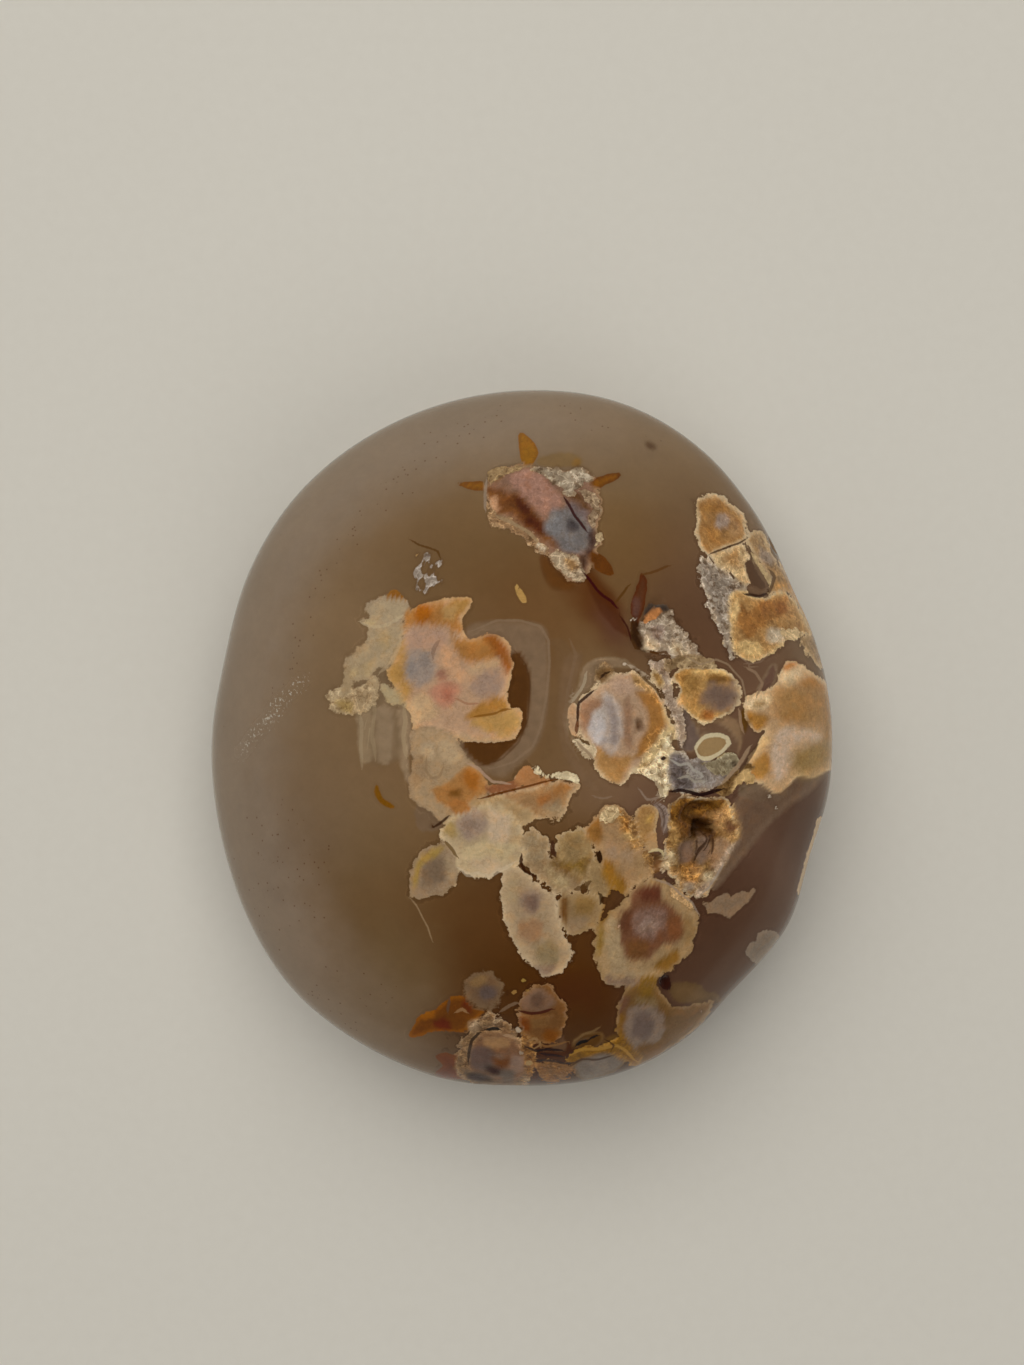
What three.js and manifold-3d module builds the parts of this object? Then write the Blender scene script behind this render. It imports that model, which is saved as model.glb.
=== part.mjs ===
// A palm stone of flower agate: one pebble of chalcedony, ground by hand to a soft oval
// that fills the palm, with a low crown, full shoulders and a small flat to rest on.
// The polish runs over everything but the hollows, where the stone was open inside: a
// brown-walled hollow right of the middle, small pits and slits around the plumes, and a
// nick on the rim. Millimetres, +Z up, origin at the middle of the resting flat.

import * as THREE from 'three';
import { mergeVertices } from 'three/addons/utils/BufferGeometryUtils.js';
import Module from 'manifold-3d';

// Overall size
const WIDTH = 54.0; // along X
const LENGTH = 60.5; // along Y
const CROWN_HEIGHT = 12.6; // crown above the girdle, the widest section
const GIRDLE_HEIGHT = 10.4; // girdle above the resting flat
const REST_SHARE = 0.36; // size of the resting flat, as a share of the girdle's outline

// Section: a superellipse, a little fuller at the shoulders than an ellipse
const SHOULDER = 2.45;
// How sharply a ground face meets the round of the stone: higher is crisper
const FACE_SHARPNESS = 14;

// The girdle's outline: distance from the middle at each azimuth, degrees from +X to +Y
const OUTLINE = [
  [0, 27.0],
  [20, 26.9],
  [30, 27.0],
  [45, 28.3],
  [58, 29.4],
  [75, 30.1],
  [90, 30.1],
  [108, 29.7],
  [130, 28.95],
  [148, 27.9],
  [165, 26.9],
  [180, 27.1],
  [200, 27.7],
  [216, 28.5],
  [232, 29.5],
  [255, 30.35],
  [270, 30.2],
  [287, 30.2],
  [300, 29.55],
  [310, 28.6],
  [325, 28.3],
  [338, 27.1],
  [350, 27.1],
];

// Faces ground on the round: where each one looks, how far it leans from upright, and how
// far it lies from the girdle's centre
const GROUND_FACES = [
  { azimuth: 330, lean: 38, reach: 19.8 },
  { azimuth: 178, lean: 40, reach: 19.8 },
  { azimuth: 34, lean: 36, reach: 19.2 },
  { azimuth: 112, lean: 34, reach: 19.8 },
  { azimuth: 258, lean: 37, reach: 20.9 },
  { azimuth: 60, lean: 146, reach: 19.0 },
  { azimuth: 215, lean: 144, reach: 19.1 },
];

// Open hollows: middle on the plan, half sizes along the hollow and across it, its depth
// below the polish, and its turn from +X in degrees
const HOLLOWS = [
  { name: 'brown_hollow', x: 14.7, y: -6.0, along: 2.1, across: 1.3, depth: 1.3, turn: 8 },
  { name: 'brown_throat', x: 14.9, y: -7.2, along: 1.1, across: 0.8, depth: 2.5, turn: 0 },
  { name: 'pink_floor', x: 14.1, y: -9.4, along: 1.8, across: 1.2, depth: 0.9, turn: 72 },
  { name: 'hollow_lip', x: 14.9, y: -4.1, along: 2.2, across: 0.35, depth: 0.8, turn: 5 },
  { name: 'honey_pit', x: 10.9, y: -10.0, along: 0.65, across: 0.6, depth: 0.7, turn: 30 },
  { name: 'crystal_slit', x: 9.8, y: 8.2, along: 1.5, across: 0.4, depth: 0.7, turn: -47 },
  { name: 'plate_crack', x: 4.6, y: 2.6, along: 1.7, across: 0.3, depth: 0.6, turn: 71 },
  { name: 'plate_pit', x: 9.7, y: 1.3, along: 0.8, across: 0.3, depth: 0.6, turn: 85 },
  { name: 'upper_crack', x: 17.1, y: 16.0, along: 1.4, across: 0.3, depth: 0.5, turn: 19 },
  { name: 'lower_slit', x: 5.4, y: -25.4, along: 1.0, across: 0.35, depth: 0.7, turn: 23 },
];

// The hollows' walls are lumpy: how far the lumps stand out, as a share of the hollow's
// size, and how many waves of them there are along it, across it and down it
const LUMP = 0.06;
const LUMP_WAVES = { along: 7, across: 6, down: 5 };

// The nick: a chip out of the rim where a brittle plume reaches it
const NICK = { azimuth: 37.1, radius: 1.3, bite: 0.5, height: 1.2 };

// Mesh
const RINGS = 26; // from the crown to the edge of the resting flat
const PROFILE_STEPS = 400;
const HALVINGS = 40;
const HOLLOW_SIDES = 18;
const MIDDLE_SHARE = 0.6; // of the resting flat that one plain diamond covers

const radians = THREE.MathUtils.degToRad;

// The outline's radius at any azimuth: a cubic through its points, closed on itself.
function outlineRadius(azimuth) {
  const n = OUTLINE.length;
  const at = (i) => {
    const turns = Math.floor(i / n);
    const [degrees, radius] = OUTLINE[i - turns * n];
    return [degrees + 360 * turns, radius];
  };
  const a = ((azimuth % 360) + 360) % 360;
  let i = n - 1;
  while (i > 0 && OUTLINE[i][0] > a) i--;
  const [a0, r0] = at(i - 1);
  const [a1, r1] = at(i);
  const [a2, r2] = at(i + 1);
  const [a3, r3] = at(i + 2);
  const span = a2 - a1;
  const t = (a - a1) / span;
  const slope1 = ((r2 - r0) / (a2 - a0)) * span;
  const slope2 = ((r3 - r1) / (a3 - a1)) * span;
  const t2 = t * t;
  const t3 = t2 * t;
  return (
    r1 * (2 * t3 - 3 * t2 + 1) +
    slope1 * (t3 - 2 * t2 + t) +
    r2 * (3 * t2 - 2 * t3) +
    slope2 * (t3 - t2)
  );
}

// A point of the section at a polar angle: its share of the outline, and its share of the
// height above or below the girdle.
function sectionShares(polar) {
  const across = Math.sin(polar);
  const up = Math.cos(polar);
  const size = (Math.abs(across) ** SHOULDER + Math.abs(up) ** SHOULDER) ** (1 / SHOULDER);
  return { across: across / size, up: up / size };
}

// The resting flat lies where the section has narrowed to REST_SHARE, and the lower half
// is as deep as puts that at GIRDLE_HEIGHT below the girdle.
const REST_UP_SHARE = (1 - REST_SHARE ** SHOULDER) ** (1 / SHOULDER);
const LOWER_DEPTH = GIRDLE_HEIGHT / REST_UP_SHARE;
const REST_POLAR = Math.PI - Math.atan(REST_SHARE / REST_UP_SHARE);

const faceNormals = GROUND_FACES.map(({ azimuth, lean }) => new THREE.Vector3(
  Math.sin(radians(lean)) * Math.cos(radians(azimuth)),
  Math.sin(radians(lean)) * Math.sin(radians(azimuth)),
  Math.cos(radians(lean)),
));

// How much the ground faces press on a point: the sum, over the faces, of the point's
// share of the way to the face, raised to the sharpness.
function facePressure(point) {
  return GROUND_FACES.reduce((sum, { reach }, i) => {
    const share = Math.max(0, point.dot(faceNormals[i]) / reach);
    return sum + share ** FACE_SHARPNESS;
  }, 0);
}

// The girdle's radius before the faces press on it, so that it is the outline's after.
function fullRadius(azimuth) {
  const wanted = outlineRadius(azimuth);
  const facing = new THREE.Vector3(Math.cos(radians(azimuth)), Math.sin(radians(azimuth)), 0);
  const left = wanted ** -FACE_SHARPNESS - facePressure(facing);
  return left ** (-1 / FACE_SHARPNESS);
}

// A point of the polished surface, before its hollows, from the girdle's centre: the round
// of the stone drawn in wherever a ground face passes under it.
function polishedPoint(polar, azimuth) {
  const { across, up } = sectionShares(polar);
  const radius = fullRadius(azimuth) * across;
  const height = up > 0 ? CROWN_HEIGHT * up : LOWER_DEPTH * up;
  const point = new THREE.Vector3(
    radius * Math.cos(radians(azimuth)),
    radius * Math.sin(radians(azimuth)),
    height,
  );
  return point.multiplyScalar((1 + facePressure(point)) ** (-1 / FACE_SHARPNESS));
}

// Polar angles that lie an even distance apart along the section, one for each ring.
function ringPolars() {
  const polars = [];
  const lengths = [0];
  let last = polishedPoint(0, 0);
  for (let i = 0; i <= PROFILE_STEPS; i++) {
    const polar = (REST_POLAR * i) / PROFILE_STEPS;
    const point = polishedPoint(polar, 0);
    if (i > 0) lengths.push(lengths[i - 1] + point.distanceTo(last));
    polars.push(polar);
    last = point;
  }
  const whole = lengths[PROFILE_STEPS];
  return Array.from({ length: RINGS + 1 }, (_, ring) => {
    const wanted = (whole * ring) / RINGS;
    const i = Math.max(1, lengths.findIndex((length) => length >= wanted - 1e-9));
    const t = (wanted - lengths[i - 1]) / (lengths[i] - lengths[i - 1]);
    return polars[i - 1] + t * (polars[i] - polars[i - 1]);
  });
}

// The stone as a square net drawn over it from the crown: each square ring of the net goes
// once round the stone, and the last one edges the resting flat. The flat is a diamond in
// the middle, with a fan from each of its corners to the nearest quarter of the edge.
function pebbleGeometry() {
  const side = 2 * RINGS + 1;
  const polars = ringPolars();
  const positions = [];
  for (let row = -RINGS; row <= RINGS; row++) {
    for (let column = -RINGS; column <= RINGS; column++) {
      const ring = Math.max(Math.abs(row), Math.abs(column));
      const azimuth = ring ? netAzimuth(column, row, ring) : 0;
      const point = polishedPoint(polars[ring], azimuth);
      const height = ring === RINGS ? 0 : point.z + GIRDLE_HEIGHT;
      positions.push(point.x, point.y, height);
    }
  }
  const at = (column, row) => (row + RINGS) * side + column + RINGS;
  const faces = [];
  for (let row = -RINGS; row < RINGS; row++) {
    for (let column = -RINGS; column < RINGS; column++) {
      const a = at(column, row);
      const b = at(column + 1, row);
      const c = at(column + 1, row + 1);
      const d = at(column, row + 1);
      if (column * row >= 0) faces.push(a, b, c, a, c, d);
      else faces.push(a, b, d, b, c, d);
    }
  }
  const rim = [];
  for (let i = -RINGS; i < RINGS; i++) rim.push(at(i, -RINGS));
  for (let i = -RINGS; i < RINGS; i++) rim.push(at(RINGS, i));
  for (let i = RINGS; i > -RINGS; i--) rim.push(at(i, RINGS));
  for (let i = RINGS; i > -RINGS; i--) rim.push(at(-RINGS, i));
  const quarter = 2 * RINGS;
  const diamond = positions.length / 3;
  for (let side = 0; side < 4; side++) {
    const edge = 3 * rim[side * quarter + RINGS];
    positions.push(MIDDLE_SHARE * positions[edge], MIDDLE_SHARE * positions[edge + 1], 0);
    faces.push(rim[side * quarter], diamond + ((side + 3) % 4), diamond + side);
  }
  rim.forEach((corner, i) => {
    faces.push(corner, diamond + Math.floor(i / quarter), rim[(i + 1) % rim.length]);
  });
  faces.push(diamond, diamond + 2, diamond + 1, diamond, diamond + 3, diamond + 2);
  const geometry = new THREE.BufferGeometry();
  geometry.setAttribute('position', new THREE.Float32BufferAttribute(positions, 3));
  geometry.setIndex(faces);
  return centred(geometry);
}

// Where a net point lies round its ring: each side of the square spans a quarter turn.
function netAzimuth(column, row, ring) {
  const quarter = 90;
  const half = 45;
  if (column === ring && row !== ring) return (half * row) / ring;
  if (row === ring) return quarter - (half * column) / ring;
  if (column === -ring) return 2 * quarter - (half * row) / ring;
  return 3 * quarter + (half * column) / ring;
}

// The geometry scaled to the driving width and length, its box centred on the Z axis.
function centred(geometry) {
  geometry.computeBoundingBox();
  const { min, max } = geometry.boundingBox;
  const middle = min.clone().add(max).multiplyScalar(0.5);
  geometry.translate(-middle.x, -middle.y, 0);
  return geometry.scale(WIDTH / (max.x - min.x), LENGTH / (max.y - min.y), 1);
}

// Height of the polish above the resting flat at a place on the plan, by halving the
// polar angle.
function polishHeight(x, y) {
  const azimuth = THREE.MathUtils.radToDeg(Math.atan2(y, x));
  const wanted = Math.hypot(x, y);
  let low = 0;
  let high = Math.PI / 2;
  for (let i = 0; i < HALVINGS; i++) {
    const polar = (low + high) / 2;
    const point = polishedPoint(polar, azimuth);
    if (Math.hypot(point.x, point.y) < wanted) low = polar;
    else high = polar;
  }
  return polishedPoint(low, azimuth).z + GIRDLE_HEIGHT;
}

// A bowl to cut a hollow with: an ellipsoid whose middle stands at the polish, with a
// lumpy wall, as a crusted hollow has.
function hollowGeometry({ x, y, along, across, depth, turn }) {
  const bowl = new THREE.SphereGeometry(1, HOLLOW_SIDES, HOLLOW_SIDES / 2);
  const place = bowl.getAttribute('position');
  const point = new THREE.Vector3();
  for (let i = 0; i < place.count; i++) {
    point.fromBufferAttribute(place, i);
    const plan = Math.sin(LUMP_WAVES.along * point.x + x) * Math.cos(LUMP_WAVES.across * point.y + y);
    point.multiplyScalar(1 + LUMP * plan * Math.cos(LUMP_WAVES.down * point.z));
    place.setXYZ(i, point.x, point.y, point.z);
  }
  bowl.rotateX(Math.PI / 2);
  bowl.scale(along, across, depth);
  bowl.rotateZ(radians(turn));
  bowl.translate(x, y, polishHeight(x, y));
  return bowl;
}

// The chip that makes the nick: a coarse ball whose side reaches into the rim.
function nickGeometry() {
  const { azimuth, radius, bite, height } = NICK;
  const chip = new THREE.IcosahedronGeometry(radius, 1);
  const outside = outlineRadius(azimuth) - bite + radius;
  chip.translate(
    outside * Math.cos(radians(azimuth)),
    outside * Math.sin(radians(azimuth)),
    GIRDLE_HEIGHT + height,
  );
  return chip;
}

const wasm = await Module();
wasm.setup();

function solidOf(geometry) {
  const bare = geometry.clone();
  bare.deleteAttribute('normal');
  bare.deleteAttribute('uv');
  const merged = mergeVertices(bare, 1e-4);
  return new wasm.Manifold(
    new wasm.Mesh({
      numProp: 3,
      vertProperties: new Float32Array(merged.getAttribute('position').array),
      triVerts: new Uint32Array(merged.index.array),
    }),
  );
}

function geometryOf(solid) {
  const mesh = solid.getMesh();
  const geometry = new THREE.BufferGeometry();
  geometry.setAttribute('position', new THREE.BufferAttribute(mesh.vertProperties, 3));
  geometry.setIndex(new THREE.BufferAttribute(mesh.triVerts, 1));
  geometry.computeVertexNormals();
  return geometry;
}

// The pebble with its hollows and its nick cut away.
function stoneGeometry() {
  let stone = solidOf(pebbleGeometry());
  for (const hollow of HOLLOWS) stone = stone.subtract(solidOf(hollowGeometry(hollow)));
  stone = stone.subtract(solidOf(nickGeometry()));
  return geometryOf(stone);
}

const agate = new THREE.MeshStandardMaterial({
  color: 0x7b6650,
  roughness: 0.2,
  metalness: 0,
});

const stone = new THREE.Mesh(stoneGeometry(), agate);
stone.name = 'palm_stone';

const palmStone = new THREE.Group();
palmStone.add(stone);

export default palmStone;
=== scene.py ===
import itertools
import math

import bpy
import numpy as np
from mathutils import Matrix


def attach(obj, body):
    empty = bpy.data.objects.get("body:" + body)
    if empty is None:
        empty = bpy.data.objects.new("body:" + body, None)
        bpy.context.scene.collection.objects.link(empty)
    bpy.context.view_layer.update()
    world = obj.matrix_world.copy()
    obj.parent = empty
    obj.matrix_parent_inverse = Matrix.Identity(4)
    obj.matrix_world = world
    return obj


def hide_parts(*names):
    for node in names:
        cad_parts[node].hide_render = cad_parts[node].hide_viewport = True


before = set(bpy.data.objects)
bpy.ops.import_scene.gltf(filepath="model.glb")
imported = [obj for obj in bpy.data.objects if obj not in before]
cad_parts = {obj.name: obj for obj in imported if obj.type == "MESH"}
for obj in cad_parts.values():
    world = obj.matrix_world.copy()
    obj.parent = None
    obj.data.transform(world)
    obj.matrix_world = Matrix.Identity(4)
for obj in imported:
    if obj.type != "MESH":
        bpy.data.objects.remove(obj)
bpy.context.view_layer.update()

# The pebble itself: one piece of chalcedony, ground by hand on a wheel to a soft oval with
# a low crown and a small flat to rest on, then tumbled to a polish. All its marks are in
# the stone. The form is a superellipse over a measured outline, with faces ground on it.

WIDTH = 54.0  # millimetres, as all the stone's sizes are until its mesh is made
LENGTH = 60.5
CROWN_HEIGHT = 12.6
GIRDLE_HEIGHT = 10.4
REST_SHARE = 0.36
SHOULDER = 2.45
FACE_SHARPNESS = 14

OUTLINE = np.array([
    (0, 27.0), (20, 26.9), (30, 27.0), (45, 28.3), (58, 29.4), (75, 30.1), (90, 30.1),
    (108, 29.7), (130, 28.95), (148, 27.9), (165, 26.9), (180, 27.1), (200, 27.7),
    (216, 28.5), (232, 29.5), (255, 30.35), (270, 30.2), (287, 30.2), (300, 29.55),
    (310, 28.6), (325, 28.3), (338, 27.1), (350, 27.1),
])
GROUND_FACES = np.array([
    (330, 38, 19.8), (178, 40, 19.8), (34, 36, 19.2), (112, 34, 19.8), (258, 37, 20.9),
    (60, 146, 19.0), (215, 144, 19.1),
])

RINGS = 149  # rings of the net from the crown to the resting flat
UNDER_DENSITY = 0.45  # rings to the millimetre below the girdle, to one above it

FACE_WAYS = np.stack([
    np.sin(np.radians(GROUND_FACES[:, 1])) * np.cos(np.radians(GROUND_FACES[:, 0])),
    np.sin(np.radians(GROUND_FACES[:, 1])) * np.sin(np.radians(GROUND_FACES[:, 0])),
    np.cos(np.radians(GROUND_FACES[:, 1])),
], axis=1)
REST_UP_SHARE = (1 - REST_SHARE ** SHOULDER) ** (1 / SHOULDER)
LOWER_DEPTH = GIRDLE_HEIGHT / REST_UP_SHARE
REST_POLAR = math.pi - math.atan(REST_SHARE / REST_UP_SHARE)


def outline_radius(azimuth):
    """The girdle's radius: a cubic through the outline's points, closed on itself."""
    turn = np.array([360.0, 0.0])
    knots = np.vstack([OUTLINE[-2:] - turn, OUTLINE, OUTLINE[:2] + turn])
    slopes = (knots[2:, 1] - knots[:-2, 1]) / (knots[2:, 0] - knots[:-2, 0])
    places, radii = knots[1:-1, 0], knots[1:-1, 1]
    azimuth = np.mod(azimuth, 360)
    i = np.clip(np.searchsorted(places, azimuth, side="right") - 1, 0, len(places) - 2)
    span = places[i + 1] - places[i]
    t = (azimuth - places[i]) / span
    rise, fall = t * t * (3 - 2 * t), t * t * t - t * t
    return (radii[i] * (1 - rise) + radii[i + 1] * rise
            + slopes[i] * span * (fall - t * t + t) + slopes[i + 1] * span * fall)


def face_pressure(points):
    """How hard the ground faces press: each point's share of the way to each face, raised
    to the sharpness, and summed."""
    shares = np.maximum(0, points @ FACE_WAYS.T / GROUND_FACES[:, 2])
    return (shares ** FACE_SHARPNESS).sum(-1)


def polished_points(polar, azimuth):
    """The polished surface from the girdle's centre. A superellipse at each polar angle,
    spread to the outline at each azimuth, and drawn in where a ground face passes under
    it. The outline is first let out by as much as the faces draw the girdle in."""
    radians = np.radians(azimuth)
    facing = np.stack([np.cos(radians), np.sin(radians), np.zeros_like(radians)], -1)
    wanted = outline_radius(azimuth) ** -FACE_SHARPNESS
    full = (wanted - face_pressure(facing)) ** (-1 / FACE_SHARPNESS)
    across, up = np.sin(polar), np.cos(polar)
    size = (np.abs(across) ** SHOULDER + np.abs(up) ** SHOULDER) ** (1 / SHOULDER)
    height = np.where(up > 0, CROWN_HEIGHT, LOWER_DEPTH) * up / size
    points = facing * (full * across / size)[..., None]
    points[..., 2] = height
    return points * ((1 + face_pressure(points)) ** (-1 / FACE_SHARPNESS))[..., None]


def ring_polars():
    """The polar angle of each ring: even steps along the section, wider under the girdle."""
    polar = np.linspace(0, REST_POLAR, 2000)
    section = polished_points(polar, np.zeros_like(polar))
    steps = np.linalg.norm(np.diff(section, axis=0), axis=1)
    steps *= np.where(polar[1:] > 1.7, UNDER_DENSITY, 1.0)
    walked = np.concatenate([[0], np.cumsum(steps)])
    return np.interp(np.linspace(0, walked[-1], RINGS + 1), walked, polar)


def net_of_stone():
    """A square net drawn over the stone from the crown: ring k of the net has 8k points
    and goes once round. Returns the points, their normals and azimuths."""
    column, row = np.meshgrid(np.arange(-RINGS, RINGS + 1), np.arange(-RINGS, RINGS + 1))
    ring = np.maximum(np.abs(column), np.abs(row))
    whole = np.maximum(ring, 1)
    azimuth = np.select(
        [(column == ring) & (row != ring), row == ring, column == -ring],
        [45 * row / whole, 90 - 45 * column / whole, 180 - 45 * row / whole],
        270 + 45 * column / whole,
    ).astype(float).ravel()
    polar = ring_polars()[ring].ravel()
    points = polished_points(polar, azimuth)
    nudge = 1e-4
    along = polished_points(polar + nudge, azimuth) - points
    apart = np.maximum(polar, 1e-3)
    side = polished_points(apart, azimuth + 0.05) - polished_points(apart, azimuth)
    normals = np.cross(along, side)
    normals /= np.linalg.norm(normals, axis=1)[:, None]
    normals[polar < 1e-3] = (0, 0, 1)
    points[:, 2] += GIRDLE_HEIGHT
    points[ring.ravel() == RINGS, 2] = 0
    low, high = points.min(0), points.max(0)
    points[:, :2] -= (low + high)[:2] / 2
    points[:, 0] *= WIDTH / (high - low)[0]
    points[:, 1] *= LENGTH / (high - low)[1]
    return points, normals, azimuth


def net_faces():
    """Four-sided faces between the net's points, and a fan over the resting flat."""
    side = 2 * RINGS + 1
    number = np.arange(side * side).reshape(side, side)
    quads = np.stack([number[:-1, :-1], number[:-1, 1:], number[1:, 1:], number[1:, :-1]], -1)
    rim = np.concatenate([number[0, :-1], number[:-1, -1], number[-1, :0:-1], number[:0:-1, 0]])
    fan = np.stack([rim, np.full_like(rim, side * side), np.roll(rim, -1)], -1)
    return quads.reshape(-1, 4).tolist() + fan.tolist()


smooth_points, normals, azimuths = net_of_stone()

# The marks: plumes of iron-stained chalcedony that grew like flowers in the clear stone,
# with lilac hearts, cream edges, amber spikes, crusts of small quartz crystals and cracks.
# They are charted as the eye meets them from above, in millimetres at the girdle's height.

EYE = np.array([-0.78, 4.9, 208.2])


def chart_of(points, azimuth):
    """Where each point lies on the chart. Above the girdle, where the line from the eye
    meets the girdle's plane. Below it, as far outside the outline as it is down the side."""
    share = (EYE[2] - GIRDLE_HEIGHT) / (EYE[2] - points[:, 2:])
    seen = EYE[:2] + (points[:, :2] - EYE[:2]) * share
    facing = np.stack([np.cos(np.radians(azimuth)), np.sin(np.radians(azimuth))], -1)
    rim = outline_radius(azimuth)
    down = np.hypot(GIRDLE_HEIGHT - points[:, 2], rim - np.linalg.norm(points[:, :2], axis=1))
    spread = facing * (rim + down)[:, None]
    return np.where(points[:, 2:] >= GIRDLE_HEIGHT, seen, spread)


def cloud(points, size, seed):
    """Cloudy noise from -1 to 1: random values on a lattice of that size, joined by smooth
    steps, with half as much again at half the size."""
    total = np.zeros(len(points))
    for octave, share in enumerate((0.67, 0.33)):
        lattice = np.random.default_rng(seed + octave).uniform(-1, 1, (32, 32, 32))
        place = points * (2 ** octave / size) + 500.0
        cell = np.floor(place).astype(int)
        t = place - cell
        t = t * t * (3 - 2 * t)
        for corner in itertools.product((0, 1), repeat=3):
            weight = np.prod(np.where(corner, t, 1 - t), axis=1)
            i, j, k = ((cell + corner) % 32).T
            total += share * weight * lattice[i, j, k]
    return total


def smooth_step(low, high, values):
    """From 0 at low to 1 at high, level at both ends."""
    t = np.clip((values - low) / (high - low), 0, 1)
    return t * t * (3 - 2 * t)


def light_of(tone):
    """A tone's light: red, green and blue of 0 to 255 on a screen, as shares of light."""
    share = np.array(tone) / 255.0
    return np.where(share <= 0.04045, share / 12.92, ((share + 0.055) / 1.055) ** 2.4)


def rounded(outline, steps=4):
    """A closed outline, given as x, y of each point in turn, with curves between its points:
    a Catmull-Rom spline."""
    p = np.array(outline, float).reshape(-1, 2)
    before, after, beyond = np.roll(p, 1, 0), np.roll(p, -1, 0), np.roll(p, -2, 0)
    t = (np.arange(steps) / steps)[None, :, None]
    p, before, after, beyond = p[:, None], before[:, None], after[:, None], beyond[:, None]
    curve = 0.5 * (2 * p + (after - before) * t + (2 * before - 5 * p + 4 * after - beyond)
                   * t ** 2 + (3 * p - before - 3 * after + beyond) * t ** 3)
    return curve.reshape(-1, 2)


def inside_distance(points, corners):
    """How far inside a closed outline each point lies, negative outside: the distance to
    its nearest side, signed by how often a line to the right crosses the outline."""
    ends = np.roll(corners, -1, 0)
    run = ends - corners
    away = points[:, None] - corners[None]
    t = np.clip((away * run).sum(-1) / np.maximum((run * run).sum(-1), 1e-9), 0, 1)
    nearest = np.sqrt(((away - t[..., None] * run) ** 2).sum(-1).min(1))
    above = corners[None, :, 1] > points[:, None, 1]
    crosses = above != (ends[None, :, 1] > points[:, None, 1])
    drop = np.where(np.abs(run[:, 1]) < 1e-9, 1e-9, run[:, 1])
    meets = corners[:, 0] + (points[:, None, 1] - corners[:, 1]) * run[:, 0] / drop
    odd = (crosses & (meets > points[:, None, 0])).sum(1) % 2
    return np.where(odd == 1, nearest, -nearest)


def line_distance(points, line):
    """The distance from each point to an open line of straight pieces, given as x, y of each
    end in turn, with the number of its nearest piece, the share of the way along it, and
    the side of it (1 or -1)."""
    line = np.array(line, float).reshape(-1, 2)
    run = line[1:] - line[:-1]
    away = points[:, None] - line[None, :-1]
    t = np.clip((away * run).sum(-1) / np.maximum((run * run).sum(-1), 1e-9), 0, 1)
    gap = np.sqrt(((away - t[..., None] * run) ** 2).sum(-1))
    piece = gap.argmin(1)
    pick = np.arange(len(points)), piece
    side = run[piece, 0] * away[pick][:, 1] - run[piece, 1] * away[pick][:, 0]
    return gap[pick], piece, t[pick], np.where(side > 0, 1.0, -1.0)


FAR = 1.6  # how far past its outline a mark is still worked out
DOWN_THE_SIDE = 7.0  # how far below the girdle the upper side's marks reach

chart = chart_of(smooth_points, azimuths)
count = len(chart)
wobble = np.stack([cloud(smooth_points, 1.6, 11), cloud(smooth_points, 1.6, 23)], -1)
ripple = cloud(smooth_points, 0.55, 37)
to_mark = smooth_points[:, 2] > GIRDLE_HEIGHT - DOWN_THE_SIDE


class Layer:
    """One depth of marks in the stone: how far inside a mark each point lies, the mark's
    tone there and how dense it is, and its edge: how torn, pale, crusty and crisp."""

    def __init__(self, name):
        self.name = name
        self.depth = np.full(count, -FAR)
        self.tone = np.tile([0.3, 0.2, 0.1, 0.0], (count, 1))
        self.edge = np.tile([0.8, 0.0, 0.0, 1.0], (count, 1))

    def mark(self, near, depth, tone, dense, edge):
        """Lays a mark over the earlier ones: outside them it is alone, and on them it
        covers from just outside its own edge inwards."""
        fresh = self.depth[near] < -0.25
        cover = np.where(fresh, depth > -FAR, smooth_step(-0.1, 0.1, depth))[:, None]
        new = np.concatenate([tone, np.full((len(tone), 1), dense)], 1)
        self.tone[near] += cover * (new - self.tone[near])
        self.edge[near] += cover * (np.array(edge) - self.edge[near])
        self.depth[near] = np.maximum(self.depth[near], depth)


class Lines:
    """Fine lines in the stone, as cracks, threads and seams are: how far from its nearest
    line each point lies and on which side, half the line's width there, and its tone."""

    def __init__(self, name):
        self.name = name
        self.side = np.full(count, FAR)
        self.half = np.full(count, -1.0)
        self.tone = np.tile([0.3, 0.2, 0.1, 0.0], (count, 1))

    def draw(self, line, width, colour, dense=0.9, sink=0.0, wander=0.15):
        """Draws a line that wanders a little and tapers at both ends, sunk if it is open."""
        line = np.array(line, float).reshape(-1, 2)
        low, high = line.min(0) - FAR, line.max(0) + FAR
        near = np.flatnonzero(np.all((chart > low) & (chart < high), axis=1) & to_mark)
        away, piece, share, side = line_distance(chart[near] + wander * wobble[near], line)
        lengths = np.hypot(*(line[1:] - line[:-1]).T)
        walked = np.concatenate([[0], np.cumsum(lengths)])
        along = (walked[piece] + share * lengths[piece]) / walked[-1]
        half = width / 2 * np.minimum(1, 0.4 + 5 * np.minimum(along, 1 - along))
        half -= 1.5 * np.maximum(0, away - 0.32)
        relief[near] -= sink * smooth_step(-0.4, 0.0, -away)
        mine = (away < 0.7) & (away < np.abs(self.side[near]))
        near = near[mine]
        self.side[near] = (side * away)[mine]
        self.half[near] = half[mine]
        self.tone[near] = [*light_of(colour), dense]


grain = np.zeros(count)  # 0 in the polish, 1 in a crust of crystals
relief = np.zeros(count)  # millimetres out of the polish, less than nothing in a hollow
veils, plumes, crusts = Layer("veil"), Layer("plume"), Layer("crust")
cracks, threads = Lines("crack"), Lines("thread")


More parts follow.
